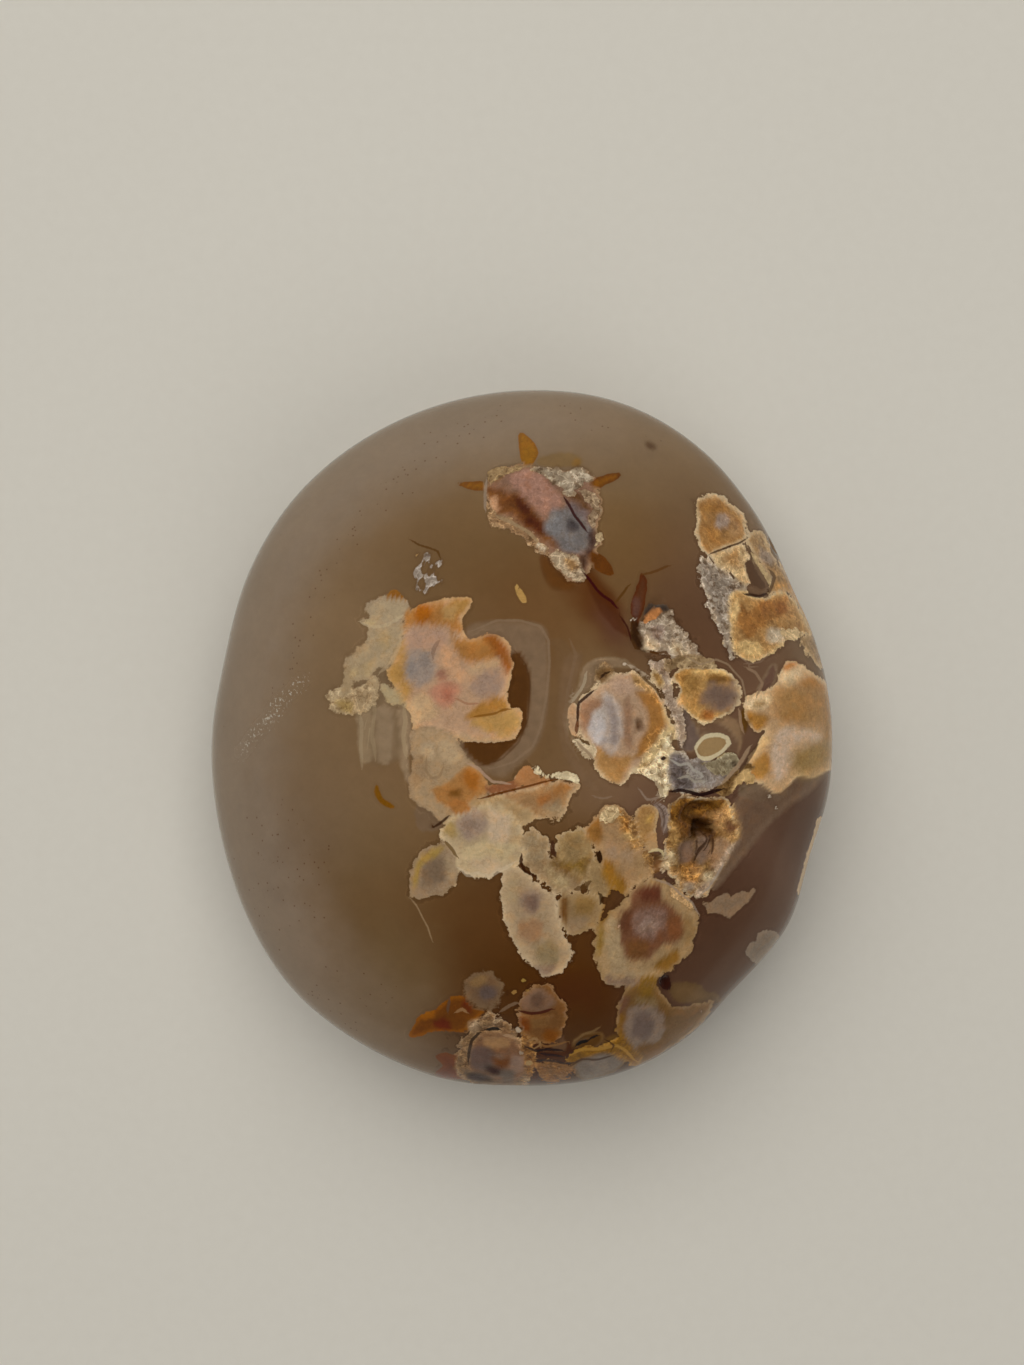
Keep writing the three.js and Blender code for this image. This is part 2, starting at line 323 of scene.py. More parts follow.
def dab(tone, near_chart, near_wobble, place, along, across, turn, colour, strength, soft=0.35):
    """Shades a mark's tone inside an ellipse with an uneven edge."""
    x, y = (near_chart + 0.22 * near_wobble * min(along, across, 1.2) - place).T
    c, s = math.cos(math.radians(turn)), math.sin(math.radians(turn))
    reach = np.hypot((x * c + y * s) / along, (y * c - x * s) / across)
    weight = strength * (1 - smooth_step(1 - soft, 1 + soft, reach))
    return tone + weight[:, None] * (light_of(colour) - tone)


def plume(layer, outline, body, edge=None, rim=0.7, dabs=(), ragged=0.16, dense=1.0,
          crusty=0.0, raised=0.0, torn=0.6, pale=0.0, crisp=1.0):
    """A mark with a closed outline: its edge tone turns to its body tone over the rim, and
    its dabs are laid in order. Crusty ones are grained, raised ones stand out, torn ones
    have a torn edge, pale ones are rimmed with cream, and less crisp ones fade out."""
    corners = rounded(outline)
    low, high = corners.min(0) - FAR, corners.max(0) + FAR
    near = np.flatnonzero(np.all((chart > low) & (chart < high), axis=1) & to_mark)
    place = chart[near] + ragged * wobble[near]
    depth = inside_distance(place, corners) + 0.5 * ragged * ripple[near]
    share = smooth_step(0, rim, depth)[:, None]
    tone = light_of(edge or body) + share * (light_of(body) - light_of(edge or body))
    for one in dabs:
        tone = dab(tone, chart[near], wobble[near], *one)
    layer.mark(near, depth, tone, dense, (torn, pale, crusty, crisp))
    inside = smooth_step(-0.05, 0.2, depth)
    grain[near] += inside * (crusty - grain[near])
    relief[near] += inside * raised


def patch(layer, outline, colour, crusty=None, strength=0.95, soft=0.25, ragged=0.28):
    """Shades a layer inside a closed outline with a soft uneven edge."""
    corners = rounded(outline)
    low, high = corners.min(0) - FAR, corners.max(0) + FAR
    near = np.flatnonzero(np.all((chart > low) & (chart < high), axis=1) & to_mark)
    depth = inside_distance(chart[near] + ragged * wobble[near], corners) + ragged * ripple[near]
    weight = (strength * smooth_step(-soft, soft, depth))[:, None]
    layer.tone[near, :3] += weight * (light_of(colour) - layer.tone[near, :3])
    if crusty is not None:
        layer.edge[near, 2:3] += weight * (crusty - layer.edge[near, 2:3])


def shades(layer, pairs, **how):
    """Shades a layer inside each of several outlines, in order."""
    for outline, *finish in pairs:
        patch(layer, outline, *finish, **how)


def uneven_round(x, y, size, seed):
    """An uneven closed outline round a point: a circle let out and in by three waves."""
    angle = np.linspace(0, 2 * np.pi, 15, endpoint=False)
    phases = np.random.default_rng(seed).uniform(0, 2 * np.pi, 3)
    reach = size * (1 + 0.16 * np.sin(2 * angle + phases[0]) + 0.12 * np.sin(3 * angle + phases[1])
                    + 0.08 * np.sin(5 * angle + phases[2]))
    return np.stack([x + reach * np.cos(angle), y + reach * np.sin(angle)], 1)


# The ground: clear smoky chalcedony, brown over the middle, pale and cloudy at the margin
# where the thin edge lets light through, with a painted reflection of the light on it at
# the left, darker low down, plum at the lower right.

ground_tone = np.tile(light_of((112, 88, 60)), (count, 1))


def wash(place, along, across, turn, colour, strength, soft=0.8):
    """A wide soft cloud in the ground: an ellipse that fades out past its edge."""
    ground_tone[:] = dab(ground_tone, chart, 2.5 * wobble, place, along, across, turn, colour,
                         strength, soft)


wash((2.1, 24.7), 21, 9, 0, (124, 101, 75), 0.9)
wash((-16.6, 4.3), 7, 20, 0, (119, 96, 70), 0.9)
wash((10.3, 20.8), 12, 5, 0, (114, 89, 59), 0.8)
wash((12.1, 14.7), 8, 5, 0, (101, 74, 44), 0.8)
wash((-2.7, 15.6), 9, 6, 0, (103, 77, 47), 0.8)
wash((2.1, 11.2), 5, 5, 0, (102, 71, 40), 0.7)
wash((-19.2, -14), 7, 12, 25, (106, 86, 66), 0.8)
wash((-12.7, -16.6), 4, 8, 0, (104, 83, 56), 0.7)
wash((-1.8, -18.3), 12, 8, 0, (91, 64, 38), 1.0)
wash((6.9, -22.7), 12, 6, 10, (67, 36, 12), 1.0)
wash((6.9, -28.8), 14, 4, 0, (66, 38, 14), 1.0)
wash((-11, -20.5), 4, 5, 0, (104, 83, 57), 0.8)
wash((-3.6, 1.7), 9, 9, 0, (97, 68, 42), 0.5)
wash((6, -14), 11, 7, 0, (80, 50, 26), 0.8)
wash((10.3, -4), 6, 3, 0, (114, 88, 66), 0.9)
wash((18.6, 5.6), 6, 12, 10, (100, 74, 58), 0.85)
wash((14.7, 8.6), 5, 5, 0, (88, 62, 44), 0.7)
wash((21.7, -10.5), 9, 11, 35, (92, 67, 53), 1.0, 0.4)
wash((17.3, -19.2), 8, 9, 30, (75, 50, 36), 1.0, 0.5)
wash((25.8, -9.7), 2.5, 8, 20, (70, 46, 34), 0.8)
wash((11.4, -8.3), 3, 4, 0, (100, 74, 58), 0.8)

margin = outline_radius(azimuths) - np.linalg.norm(chart, axis=1) + 0.9 * wobble[:, 0]
# Strongest at the left: the thin edge's pale colour with a painted reflection of the light.
left_sheen_share = 0.12 + 0.88 * smooth_step(-0.35, 0.6, -np.cos(np.radians(azimuths + 20)))
thin_edge_and_sheen = (1 - smooth_step(1.5, 9.0, margin)) * left_sheen_share * 0.7
ground_tone += thin_edge_and_sheen[:, None] * (light_of((131, 116, 100)) - ground_tone)

# Small brown specks of iron lie along an arc inside the pale margin, and scattered low at
# the left.

speck_arc = [-1.4, 28.1, -6.2, 26.3, -11, 21.8, -14.2, 18.9, -16.2, 15.6, -17.7, 12.1, -19, 9.5,
             -20.1, 6.9, -20.7, 4.3]
arc_away = line_distance(chart + 0.5 * wobble, speck_arc)[0]
specks = np.exp(-(arc_away / 0.8) ** 2) * 0.95
low_left = np.hypot(*((chart - (-20.5, -11.4)) / (4.5, 7.0)).T)
specks = np.maximum(specks, 0.55 * (1 - smooth_step(0.5, 1.1, low_left)))
low_end = np.hypot(*((chart - (-14.7, -22.7)) / (5.0, 3.5)).T)
specks = np.maximum(specks, 0.5 * (1 - smooth_step(0.5, 1.1, low_end)))
top_row = [-0.1, 29, 4.3, 28.6, 10.3, 26.3, 11.7, 25.5]
row_away = line_distance(chart + 0.3 * wobble, top_row)[0]
specks = np.maximum(specks, 0.6 * np.exp(-(row_away / 0.5) ** 2)) * to_mark
wash((11.2, 25.5), 0.5, 0.35, -30, (80, 56, 36), 0.8, 0.5)

# A frosty streak in the margin at the left: small scuffs in the polish, with pale glints
# painted into the colour as highlights where the scuffs catch the light.

streak = [-24.2, -1.1, -22.5, 1.1, -20.8, 3.4, -19, 5.1]
streak_away = line_distance(chart + 0.2 * wobble, streak)[0]
frost_and_glints = 0.9 * np.exp(-(streak_away / 0.8) ** 2) * to_mark

# Veils deep in the stone: thin bands of chalcedony that follow the wall of a brown pocket,
# and pale petals that lie too deep to be seen clearly. The pale haze at the lower right is
# partly the stone's cloudy tone and partly a painted reflection of the light on the slope.

plume(veils, [-4.9, 9.5, -2.9, 10.3, -0.2, 10.3, 1.8, 10, 2.5, 8.6, 2.5, 4.3, 2.2, 1.7,
    1.7, -0.1, 0.8, -1.5, -0.8, -2.9, -1.8, -3.4, -4.4, -2.3, -5.7, 0.3, -5.7, 5.1],
    (126, 103, 80), (118, 93, 68), 0.5, dense=0.8, ragged=0.05, torn=0.12)
plume(veils, [-0.7, 7.5, 0.3, 6.9, 0.8, 5.6, 0.8, 3.6, 0.5, 1.2, -0.4, -0.4, -1.7, -1.6,
    -2.7, -2.3, -3.7, -2.2, -4.7, -1.2, -5.1, -0.2, -4.4, 3.4],
    (84, 52, 25), (90, 58, 31), 0.4, dense=0.95, ragged=0.06, torn=0.3)
plume(veils, [2.3, 8.6, 3, 7.7, 3, 3.4, 2.5, 0.8, 1.7, -1.5, 2.3, -1.8, 3.6, 0.3, 4.4, 3.4,
    4.7, 6.4, 3.9, 8.6],
    (110, 84, 56), dense=0.5, ragged=0.08, torn=0.2)
plume(veils, [5.4, 7.3, 4.7, 4.3, 4.1, 2.3, 4.4, -0.5, 6, -3.1, 7.2, -4.4, 6, -4.6, 4.3, -2.7,
    3.2, 0.3, 3.2, 4.3, 3.9, 7.3],
    (122, 96, 72), (114, 88, 62), 0.4, dense=0.5, ragged=0.08, torn=0.2)
# A pale haze at the lower right: partly the stone's cloudy tone, partly painted reflection.
plume(plumes, [18.7, -5.3, 20.8, -4.1, 23.8, -3.1, 26.5, -2, 26.3, -3.2, 24.8, -4.8, 22.7, -6.3,
    20.6, -8.6, 18.9, -10.7, 16.8, -13.1, 17, -11.2, 18.6, -8.6],
    (110, 88, 70), (124, 102, 82), 0.9, dense=0.75, ragged=0.04, torn=0.15, crisp=0.14)
plume(plumes, [15.7, -14.2, 16.3, -14.3, 17, -13.9, 17.5, -13.5, 17.9, -13.4, 18.2, -13.8,
    18.7, -13.5, 19.2, -13.3, 19.7, -13.5, 20.3, -13, 20.1, -13.6, 19.7, -14.1, 19, -14.7,
    18.4, -15.2, 18, -15.6, 17.7, -15.3, 17, -15.1, 16.4, -15, 16, -14.6],
    (130, 108, 86), dense=0.95, ragged=0.06, torn=0.25, crisp=0.8)
plume(veils, [1.7, 16.2, 2.4, 15.9, 3.1, 14.8, 4.3, 14, 5, 13.1, 3.9, 12.8, 2.7, 13.1, 2, 14,
    1.6, 15.1],
    (96, 58, 24), (94, 62, 34), 0.4, dense=0.85, ragged=0.1, torn=0.4)
plume(veils, [-13.5, 11.6, -11.9, 12.2, -10.5, 12.2, -9.7, 11.2, -9.8, 10.3, -10.2, 9.1,
    -10.3, 7.7, -10.6, 6.5, -11.4, 5.5, -10.3, 2.9, -9.3, 0.3, -10.3, -1.8, -12.3, -2.3,
    -13.7, -1.7, -13.9, 1, -13.7, 2.1, -15.6, 2.3, -16.6, 3.4, -16.8, 3.7, -15.7, 4.6,
    -14.7, 4.4, -14.9, 5.6, -15.3, 6.9, -14.2, 7.7, -13.1, 9.1, -13, 10.7],
    (128, 106, 80), (118, 94, 68), dense=0.75, ragged=0.2)
plume(plumes, [-13.5, 11.6, -12.4, 12.2, -10.9, 12.3, -10.1, 12, -9.5, 11.1, -9.8, 10.3,
    -11.2, 10.1, -12.6, 9.7, -13.9, 10.2, -13.1, 10.5],
    (166, 146, 116), (154, 134, 108), 0.5, dense=0.95, torn=0.5, crisp=0.5)
plume(plumes, [-13, 9.7, -11.2, 10, -10.3, 10, -10.4, 8.6, -11, 7.3, -11.7, 6.3, -12.3, 6.2,
    -13.3, 5.3, -14.4, 5.2, -15.1, 6.2, -15.2, 7, -14.2, 7.7, -13.5, 8.6],
    (166, 145, 114), (156, 135, 106), 0.5, dense=0.95, torn=0.5, crisp=0.5)
plume(plumes, [-16.8, 3.6, -15.9, 4.4, -14.7, 4.3, -13.5, 4.9, -12.8, 5.5, -12.3, 5.1,
    -12.5, 3.7, -13.1, 2.6, -14.5, 2.2, -15.9, 2.3, -16.6, 2.8, -16.1, 3.2],
    (164, 140, 106), (160, 138, 106), 0.5, dense=0.95, crusty=0.5, crisp=0.6)
plume(plumes, [-11.9, 4.8, -11.2, 4.3, -10.3, 3.2, -10.5, 2.9, -11.4, 3.3, -12, 3.9],
    (164, 146, 112), dense=0.9, crisp=0.4)
shades(plumes, [
    ([-13.7, 10.3, -13, 10.3, -12.6, 9.9, -13.5, 9.7], (182, 160, 120)),
    ([-15.1, 6.2, -14.3, 6.3, -14.2, 5.6, -14.9, 5.5], (176, 152, 112)),
    ([-13.8, 6.7, -13, 6.7, -13, 5.7, -13.7, 5.7], (172, 148, 110)),
    ([-12.3, 9.3, -11.4, 9.3, -11.4, 8.1, -12.3, 8.1], (170, 146, 108)),
    ([-15.9, 3.4, -14.7, 3.4, -14.7, 2.4, -15.7, 2.5], (150, 124, 76)),
    ([-16.6, 4.3, -15.9, 4.6, -15.7, 3.9, -16.4, 3.7], (180, 158, 124)),
])
plume(veils, [-14.3, 2.7, -13, 2.7, -12.9, 0.3, -13, -2, -14, -1.7, -14.2, 0.8],
    (144, 122, 94), dense=0.85, ragged=0.1, torn=0.4)
plume(veils, [-12.5, 2.7, -11.3, 2.7, -11.1, 0.3, -11.4, -2.2, -12.4, -1.8, -12.6, 0.8],
    (142, 120, 94), dense=0.85, ragged=0.1, torn=0.4)
plume(veils, [-10.8, 3.4, -9.7, 2.5, -9.4, 0.4, -9.7, -1.8, -9.5, -4.1, -10.3, -2.7,
    -10.5, 0.3],
    (148, 124, 96), dense=0.9, ragged=0.1, torn=0.4)
threads.draw([-13.9, 2, -13.8, 0.3, -13.9, -1.1, -13.8, -2.5], 0.34, (172, 152, 122), 0.3, 0,
    0.2)
threads.draw([-12.8, 4.3, -12.7, 2.3, -12.9, 0.3, -12.6, -1.8], 0.34, (166, 146, 114), 0.28, 0,
    0.2)
threads.draw([-10.2, 2.9, -10, 1.5, -10.3, -0.1, -9.9, -1.5], 0.4, (180, 158, 122), 0.3, 0, 0.2)
threads.draw([-13.9, 10.1, -12.8, 9.7, -11.4, 10, -10.2, 10.7], 0.3, (190, 170, 136), 0.5, 0,
    0.12)
threads.draw([-10.3, 9.7, -10.6, 7.9, -11.4, 6.5, -12.3, 5.7], 0.3, (184, 162, 128), 0.35)
plume(plumes, [-14.9, 6.5, -15.5, 5.8, -15.4, 5, -15.7, 3.9, -15.1, 3.9, -14.7, 4.8,
    -14.8, 5.7],
    (160, 138, 106), dense=0.8, ragged=0.1, crisp=0.4)
plume(plumes, [-5, -21.3, -3.7, -20.4, -2.5, -20.5, -1.7, -21.3, -1.6, -22.3, -2.5, -23.4,
    -4.1, -23.1],
    (116, 92, 70), (126, 102, 76), 0.5, dense=0.75, ragged=0.2, torn=0.7, crisp=0.3,
    dabs=[((-2.9, -22.1), 0.75, 0.6, 0, (98, 86, 82), 0.95),
    ((-3.7, -21.1), 0.8, 0.4, 20, (142, 112, 74), 0.9)])
plume(veils, [13.1, -21.3, 14.5, -21, 16.1, -21.7, 17.5, -22.6, 17, -23, 15.2, -23.2, 13.5, -23,
    12.8, -22],
    (112, 86, 55), (100, 76, 48), 0.9, dense=0.85, ragged=0.3)

# The flower near the top: a pink plume with a blue-grey heart, set in a crust of quartz
# grains, and stained brown by iron along its lower left.

plume(plumes, [-3, 22.2, -2.1, 23.4, -0.7, 23.7, 1, 23.7, 2.7, 23.3, 4.4, 23.4, 5.7, 23.3,
    6.3, 22.2, 6.9, 20.8, 6.9, 19.5, 6.6, 18.2, 7, 17, 6.3, 16.2, 6.1, 15, 5.5, 14.1, 4.5, 13.7,
    3.5, 14.4, 2.7, 15.5, 2.2, 16.3, 0.8, 17.7, -0.8, 19, -2.1, 19.4, -2.7, 20.3],
    (130, 98, 78), (134, 104, 74), 0.4, crusty=0.25, ragged=0.08, pale=0.2, torn=0.5)
shades(plumes, [
    ([-3, 21.8, -1.8, 21.7, -0.7, 21.5, 0.3, 21.1, 0.8, 20.2, 1.7, 19, 2.7, 17.7, 3.4, 16.7,
     2.5, 16.7, 1.1, 18, -0.3, 19.1, -1.8, 19.4, -2.7, 20.1], (112, 68, 30)),
    ([-1, 21.1, -0.1, 21, 0.4, 20.1, 1.3, 19, 2, 18, 1.5, 17.8, 0.4, 18.9, -0.6, 20.1],
     (76, 36, 14)),
    ([-2.8, 20.8, -2, 20.8, -1.9, 19.8, -2.6, 19.7], (184, 140, 104)),
    ([-1.1, 22.5, -0.1, 23.2, 1.1, 23.3, 2.3, 22.2, 3.4, 21, 3.6, 20.3, 2.3, 19.4, 1.5, 19.4,
     0.6, 20.5, -0.4, 21.6], (158, 118, 100)),
    ([2.4, 19.7, 3.6, 20.1, 4.8, 20, 5.8, 19, 6.3, 17.2, 5.5, 16.3, 4.3, 16, 3, 16.8,
     2.1, 18.2], (112, 107, 105)),
    ([2.3, 19.4, 3.4, 19.6, 3.4, 18.2, 2.7, 17.7, 2.1, 18.3], (124, 120, 119)),
    ([4.2, 20.8, 5.1, 20.6, 5.8, 19.9, 5.8, 19, 4.8, 19.4, 4.2, 20.2], (112, 98, 96)),
    ([4, 19, 4.8, 18.9, 4.8, 18, 4.2, 18], (70, 62, 62)),
    ([3.9, 21.1, 4.7, 21.4, 5.8, 20.6, 5.7, 20.1, 4.6, 20.6], (92, 60, 32)),
    ([5.9, 18, 6.6, 17.8, 6.5, 17.1, 5.8, 16, 5.5, 16.4], (70, 50, 42)),
    ([5, 15.9, 5.7, 15.8, 5.8, 15, 5.5, 14.4, 5.1, 15], (60, 40, 28)),
    ([3.5, 15.7, 4.4, 15.7, 5, 14.9, 4.3, 14.5], (180, 145, 92)),
    ([-3, 22.9, -2.5, 23.4, -1.8, 23.4, -1.6, 22.8, -2.3, 22.3], (160, 112, 50)),
], soft=0.3, ragged=0.35)
plume(crusts, [0.7, 23.7, 2.1, 23.7, 3.5, 23.4, 5, 23.6, 5.8, 23.3, 6.1, 22.5, 5.1, 21.8,
    4.3, 21.2, 3.4, 21.6, 2.5, 22.3, 1.5, 23.2],
    (150, 133, 110), (134, 112, 86), 0.3, crusty=1, ragged=0.15, torn=0.8, raised=0.05)
plume(crusts, [-3, 21, -2.5, 19.9, -1.5, 19.3, -0.3, 18.9, 0.9, 18, 1.9, 17, 2.7, 16.3,
    2.4, 15.8, 1.4, 16.4, 0.2, 17.3, -1.1, 18.1, -2.3, 18.7, -3.1, 19.7],
    (146, 112, 76), (160, 128, 92), 0.25, crusty=0.9, ragged=0.2, torn=0.9)
plume(crusts, [5.1, 21.7, 6.2, 21.6, 6.9, 20.3, 6.6, 18.7, 6.2, 18.1, 5.8, 18.9, 6, 20.1,
    5.4, 21],
    (146, 122, 94), crusty=1, ragged=0.15)
plume(crusts, [6.7, 18.2, 7, 17.6, 6.9, 16.9, 6.2, 16.7, 6.5, 17.2],
    (172, 148, 112), crusty=0.6, ragged=0.1)
plume(crusts, [2.4, 16.2, 3.6, 16.3, 4.8, 15.9, 5.5, 14.9, 5.7, 14.1, 5, 13.6, 3.9, 14.1,
    3, 15],
    (168, 147, 118), (144, 120, 90), 0.3, crusty=1, ragged=0.15)
plume(crusts, [-3, 22.5, -2.6, 23.3, -1.8, 23.7, -0.8, 23.7, 0.3, 23.7, 0.3, 23.4, -1, 23.1,
    -1.8, 22.6, -2.7, 21.9],
    (150, 122, 84), crusty=0.9, ragged=0.1)
plume(crusts, [1.3, 17.2, 1.8, 16.9, 2.3, 16.3, 1.9, 16.3, 1.5, 16.7],
    (190, 172, 145), crusty=0.4, ragged=0.08)
shades(crusts, [
    ([3.9, 23.2, 5, 23.1, 5, 22.3, 4.1, 22.3], (170, 152, 128)),
    ([3.6, 15.7, 4.5, 15.6, 4.9, 14.8, 4.1, 14.7], (150, 112, 66)),
    ([5, 15.8, 5.7, 15.7, 5.7, 15, 5.3, 14.7], (62, 42, 30)),
], soft=0.26)
cracks.draw([3.8, 21, 4.3, 20.2, 4.7, 19.4, 5.2, 18.8, 5.7, 18.1], 0.26, (58, 30, 28), 0.95,
    0.12, 0.05)
threads.draw([-2, 19.3, -1.1, 19, -0.1, 18.5, 0.8, 17.9, 1.4, 17.3], 0.3, (150, 124, 90), 0.85)
threads.draw([-3, 22.5, -3.1, 21.2, -3.2, 19.9], 0.26, (150, 130, 110), 0.7)
plume(veils, [1.4, 24.4, 3, 24.8, 5, 24.6, 5.3, 23.7, 3.4, 23.6, 1.7, 23.7],
    (124, 97, 60), dense=0.8, ragged=0.15, torn=0.4)
plume(veils, [4.6, 24.3, 5.1, 24.3, 5.1, 23.7, 4.5, 23.7],
    (132, 96, 45), dense=0.9, ragged=0.05, torn=0.2)

# Amber spikes that stand out from that flower like thorns: thin leaves of iron stain,
# grown along flaws in the clear stone.

AMBER = (134, 90, 16)
plume(plumes, [-0.1, 26.5, 0.7, 26.1, 1.3, 25.3, 1.4, 24.7, 0.9, 23.9, 0.3, 23.9, 0, 24.7],
    AMBER, (120, 78, 18), 0.3, ragged=0.04, torn=0.1)
plume(plumes, [-5.5, 22.2, -4.4, 22.3, -3.3, 22.3, -3.3, 21.7, -4.2, 21.7, -4.9, 21.9],
    (120, 80, 24), (100, 62, 20), 0.3, ragged=0.04, torn=0.1)
plume(plumes, [6, 22.4, 6.9, 22.7, 7.8, 23, 8.6, 23, 8.3, 22.6, 7.4, 22.2, 6.5, 21.8],
    (120, 75, 18), (92, 54, 16), 0.3, ragged=0.04, torn=0.1)
plume(plumes, [5.9, 15.8, 6.3, 16.3, 7.1, 15.8, 7.8, 15, 8, 14.3, 7.2, 14.4, 6.3, 15],
    (90, 52, 12), ragged=0.04, torn=0.1)
plume(plumes, [-11.7, 12.5, -11, 12.9, -10.4, 12.5, -10.2, 12.2, -11, 12.2, -11.7, 12.3],
    (130, 84, 32), ragged=0.05, torn=0.1)

# The brown crack from that flower down to the middle, with a leaf and a twig beside it:
# an old fissure, closed again, along which iron has soaked into the stone.

wash((6.3, 11.9), 4.2, 1.5, -56, (84, 48, 22), 0.85, 0.8)
wash((7.9, 9.8), 2.2, 1.1, -56, (88, 58, 44), 0.8, 0.8)
wash((6.9, 13), 2.6, 0.6, -56, (76, 38, 14), 0.7, 0.7)
plume(veils, [5.7, 14.3, 6.2, 13.7, 6.9, 12.8, 7.8, 11.9, 8.5, 11.1, 9.1, 10, 9.7, 8.8, 9, 9,
    8, 9.7, 7.1, 10.7, 6.4, 11.9, 5.8, 13.1],
    (78, 40, 22), dense=0.62, ragged=0.12, torn=0.3, crisp=0.25)
cracks.draw([5.5, 14.4, 6, 13.8, 6.6, 13, 7.2, 12.4, 7.8, 12, 8.3, 11.4], 0.26, (60, 22, 6),
    0.95, 0.1, 0.08)
cracks.draw([8.7, 10.6, 9.3, 9.7, 9.6, 8.6], 0.16, (60, 28, 12), 0.9, 0.05, 0.05)
threads.draw([8, 11.7, 8.4, 12.1, 8.8, 12.6, 9.4, 13.3], 0.22, (88, 56, 24), 0.85)
plume(plumes, [10.5, 14.4, 10.9, 13.5, 10.8, 12.1, 10.4, 10.7, 10, 10.4, 9.6, 11.1, 9.7, 12.1,
    10.2, 13.3],
    (82, 50, 32), (80, 42, 24), 0.3, ragged=0.05, torn=0.2)
shades(plumes, [([9.7, 12.1, 10.2, 12.1, 10.1, 10.7, 9.7, 11], (86, 60, 52))], soft=0.26)
threads.draw([10.5, 14.3, 11.2, 14.4, 12, 14.7, 12.8, 15], 0.24, (94, 60, 30), 0.85)

# The druzy patch in the middle: small grey crystals of quartz that lined a gap between
# two flowers, with an orange bit and a dark cleft where the gap stayed open. The dark in
# the cleft is painted shade, and a white fleck at its upper edge is a painted glint.

plume(plumes, [10.3, 10, 11.2, 10.4, 12.3, 11, 13, 10.9, 13.5, 9.8, 14.5, 8.9, 15.4, 7.7,
    15.6, 6.9, 14.7, 6.4, 13.7, 6.5, 12.2, 7.5, 11, 7.9, 10.5, 9],
    (148, 131, 111), (133, 116, 97), 0.5, crusty=0.9, ragged=0.14, pale=0.1, torn=0.9)
# The open cleft: its dark is painted shade in the gap.
plume(plumes, [9.6, 10.2, 10.3, 10.1, 10.4, 9.1, 11.2, 7.9, 10.9, 7.5, 10.1, 7.9, 9.6, 8.6],
    (50, 33, 21), (69, 46, 27), 0.2, ragged=0.06, torn=0.3)
plume(crusts, [10.6, 11, 11.2, 11.8, 11.9, 11.7, 12.7, 11.7, 12.8, 11.1, 12.1, 11, 11.4, 11,
    10.8, 10.5],
    (60, 50, 43), (87, 71, 58), 0.25, crusty=0.2, ragged=0.06, torn=0.3)
plume(crusts, [10.6, 10.3, 11.2, 11, 12, 11.4, 12.2, 10.9, 11.4, 10.3, 10.8, 10],
    (175, 116, 68), crusty=0.3, ragged=0.06, torn=0.3)
# A painted glint at the cleft's upper edge.
plume(crusts, [9.3, 10.2, 9.7, 10.5, 10.2, 10.7, 9.8, 10.2],
    (208, 192, 170), crusty=0.2, ragged=0.04, torn=0.2)
shades(plumes, [
    ([11.3, 9.7, 12.3, 9.7, 12.3, 8.8, 11.5, 8.7], (144, 123, 109)),
    ([10.9, 8.6, 11.7, 8.6, 11.7, 7.7, 11, 7.8], (206, 183, 150)),
    ([13.1, 8.2, 13.9, 8.2, 13.8, 7.6, 13.2, 7.6], (204, 181, 146)),
    ([13.9, 7.6, 14.5, 7.5, 14.4, 6.8, 13.9, 6.9], (193, 168, 132)),
], soft=0.26)
threads.draw([11.2, 7.6, 11.9, 7.4, 12.6, 7.6, 13, 6.9], 0.22, (81, 50, 25), 0.85)

# Four cream flowers at the upper right, grown one above the other out to the rim, with
# honey-coloured middles, thin pale edges and grey druzy quartz between them.

plume(plumes, [15.5, 15.5, 16.3, 15.7, 17.5, 14.7, 19, 13.8, 19.7, 13.3, 18.7, 12.6, 18.1, 11.7,
    18, 10.3, 18.3, 8.6, 18.4, 7, 17.9, 7.7, 17.5, 9.3, 16.4, 11.2, 16.1, 12.8, 15.6, 13.8],
    (134, 120, 105), (154, 139, 121), 0.4, crusty=1, torn=0.8, pale=0.3)
plume(plumes, [15.1, 20.5, 16.1, 21.1, 17.3, 21.2, 18.3, 20.3, 19.2, 19.6, 19.6, 18.2,
    19.4, 17.2, 18.3, 16.8, 17.3, 16.4, 16.3, 16, 15.6, 16.8, 15.2, 18, 15.4, 19.2],
    (150, 111, 66), (187, 160, 121), 0.38, crusty=0.35, ragged=0.1, pale=0.8)
shades(plumes, [
    ([15.9, 20.3, 17.7, 20.4, 18, 19.8, 16.4, 19.6, 15.8, 19.8], (152, 107, 55)),
    ([17, 19.4, 18.1, 19.3, 18.2, 18.3, 17.1, 18.2], (157, 136, 121)),
    ([16, 18.3, 17.3, 18.2, 17.3, 17.2, 16.2, 17.2], (165, 118, 64)),
    ([18.3, 19, 19.1, 18.7, 19.2, 17.7, 18.3, 17.5], (163, 124, 81)),
])
plume(plumes, [16.6, 15.8, 17.3, 16.4, 18.4, 16.7, 19.3, 16.8, 19.8, 16.1, 19.6, 15, 19.9, 13.8,
    19.4, 13.5, 18.3, 14.3, 17.2, 14.9],
    (181, 153, 112), (194, 168, 129), 0.3, crusty=0.6, ragged=0.1, pale=0.5)
shades(plumes, [([17.7, 16, 18.9, 16, 19, 15, 17.9, 15.2], (163, 124, 78))])
plume(plumes, [19.7, 17.5, 20.8, 18.1, 21.5, 16.9, 22.2, 15.6, 23.6, 14.2, 25.3, 13.3,
    26.2, 11.7, 25.8, 10.2, 27, 8.6, 27.4, 6.9, 26.3, 6.2, 25.3, 6.9, 24.3, 8.6, 24.8, 9.3,
    24.1, 11.4, 23.2, 12.8, 22.2, 12.8, 21.5, 12.6, 21.7, 13.8, 21.1, 15, 20.4, 15.9,
    19.9, 16.6],
    (144, 116, 81), (171, 143, 104), 0.4, crusty=0.5, ragged=0.12, pale=0.5)
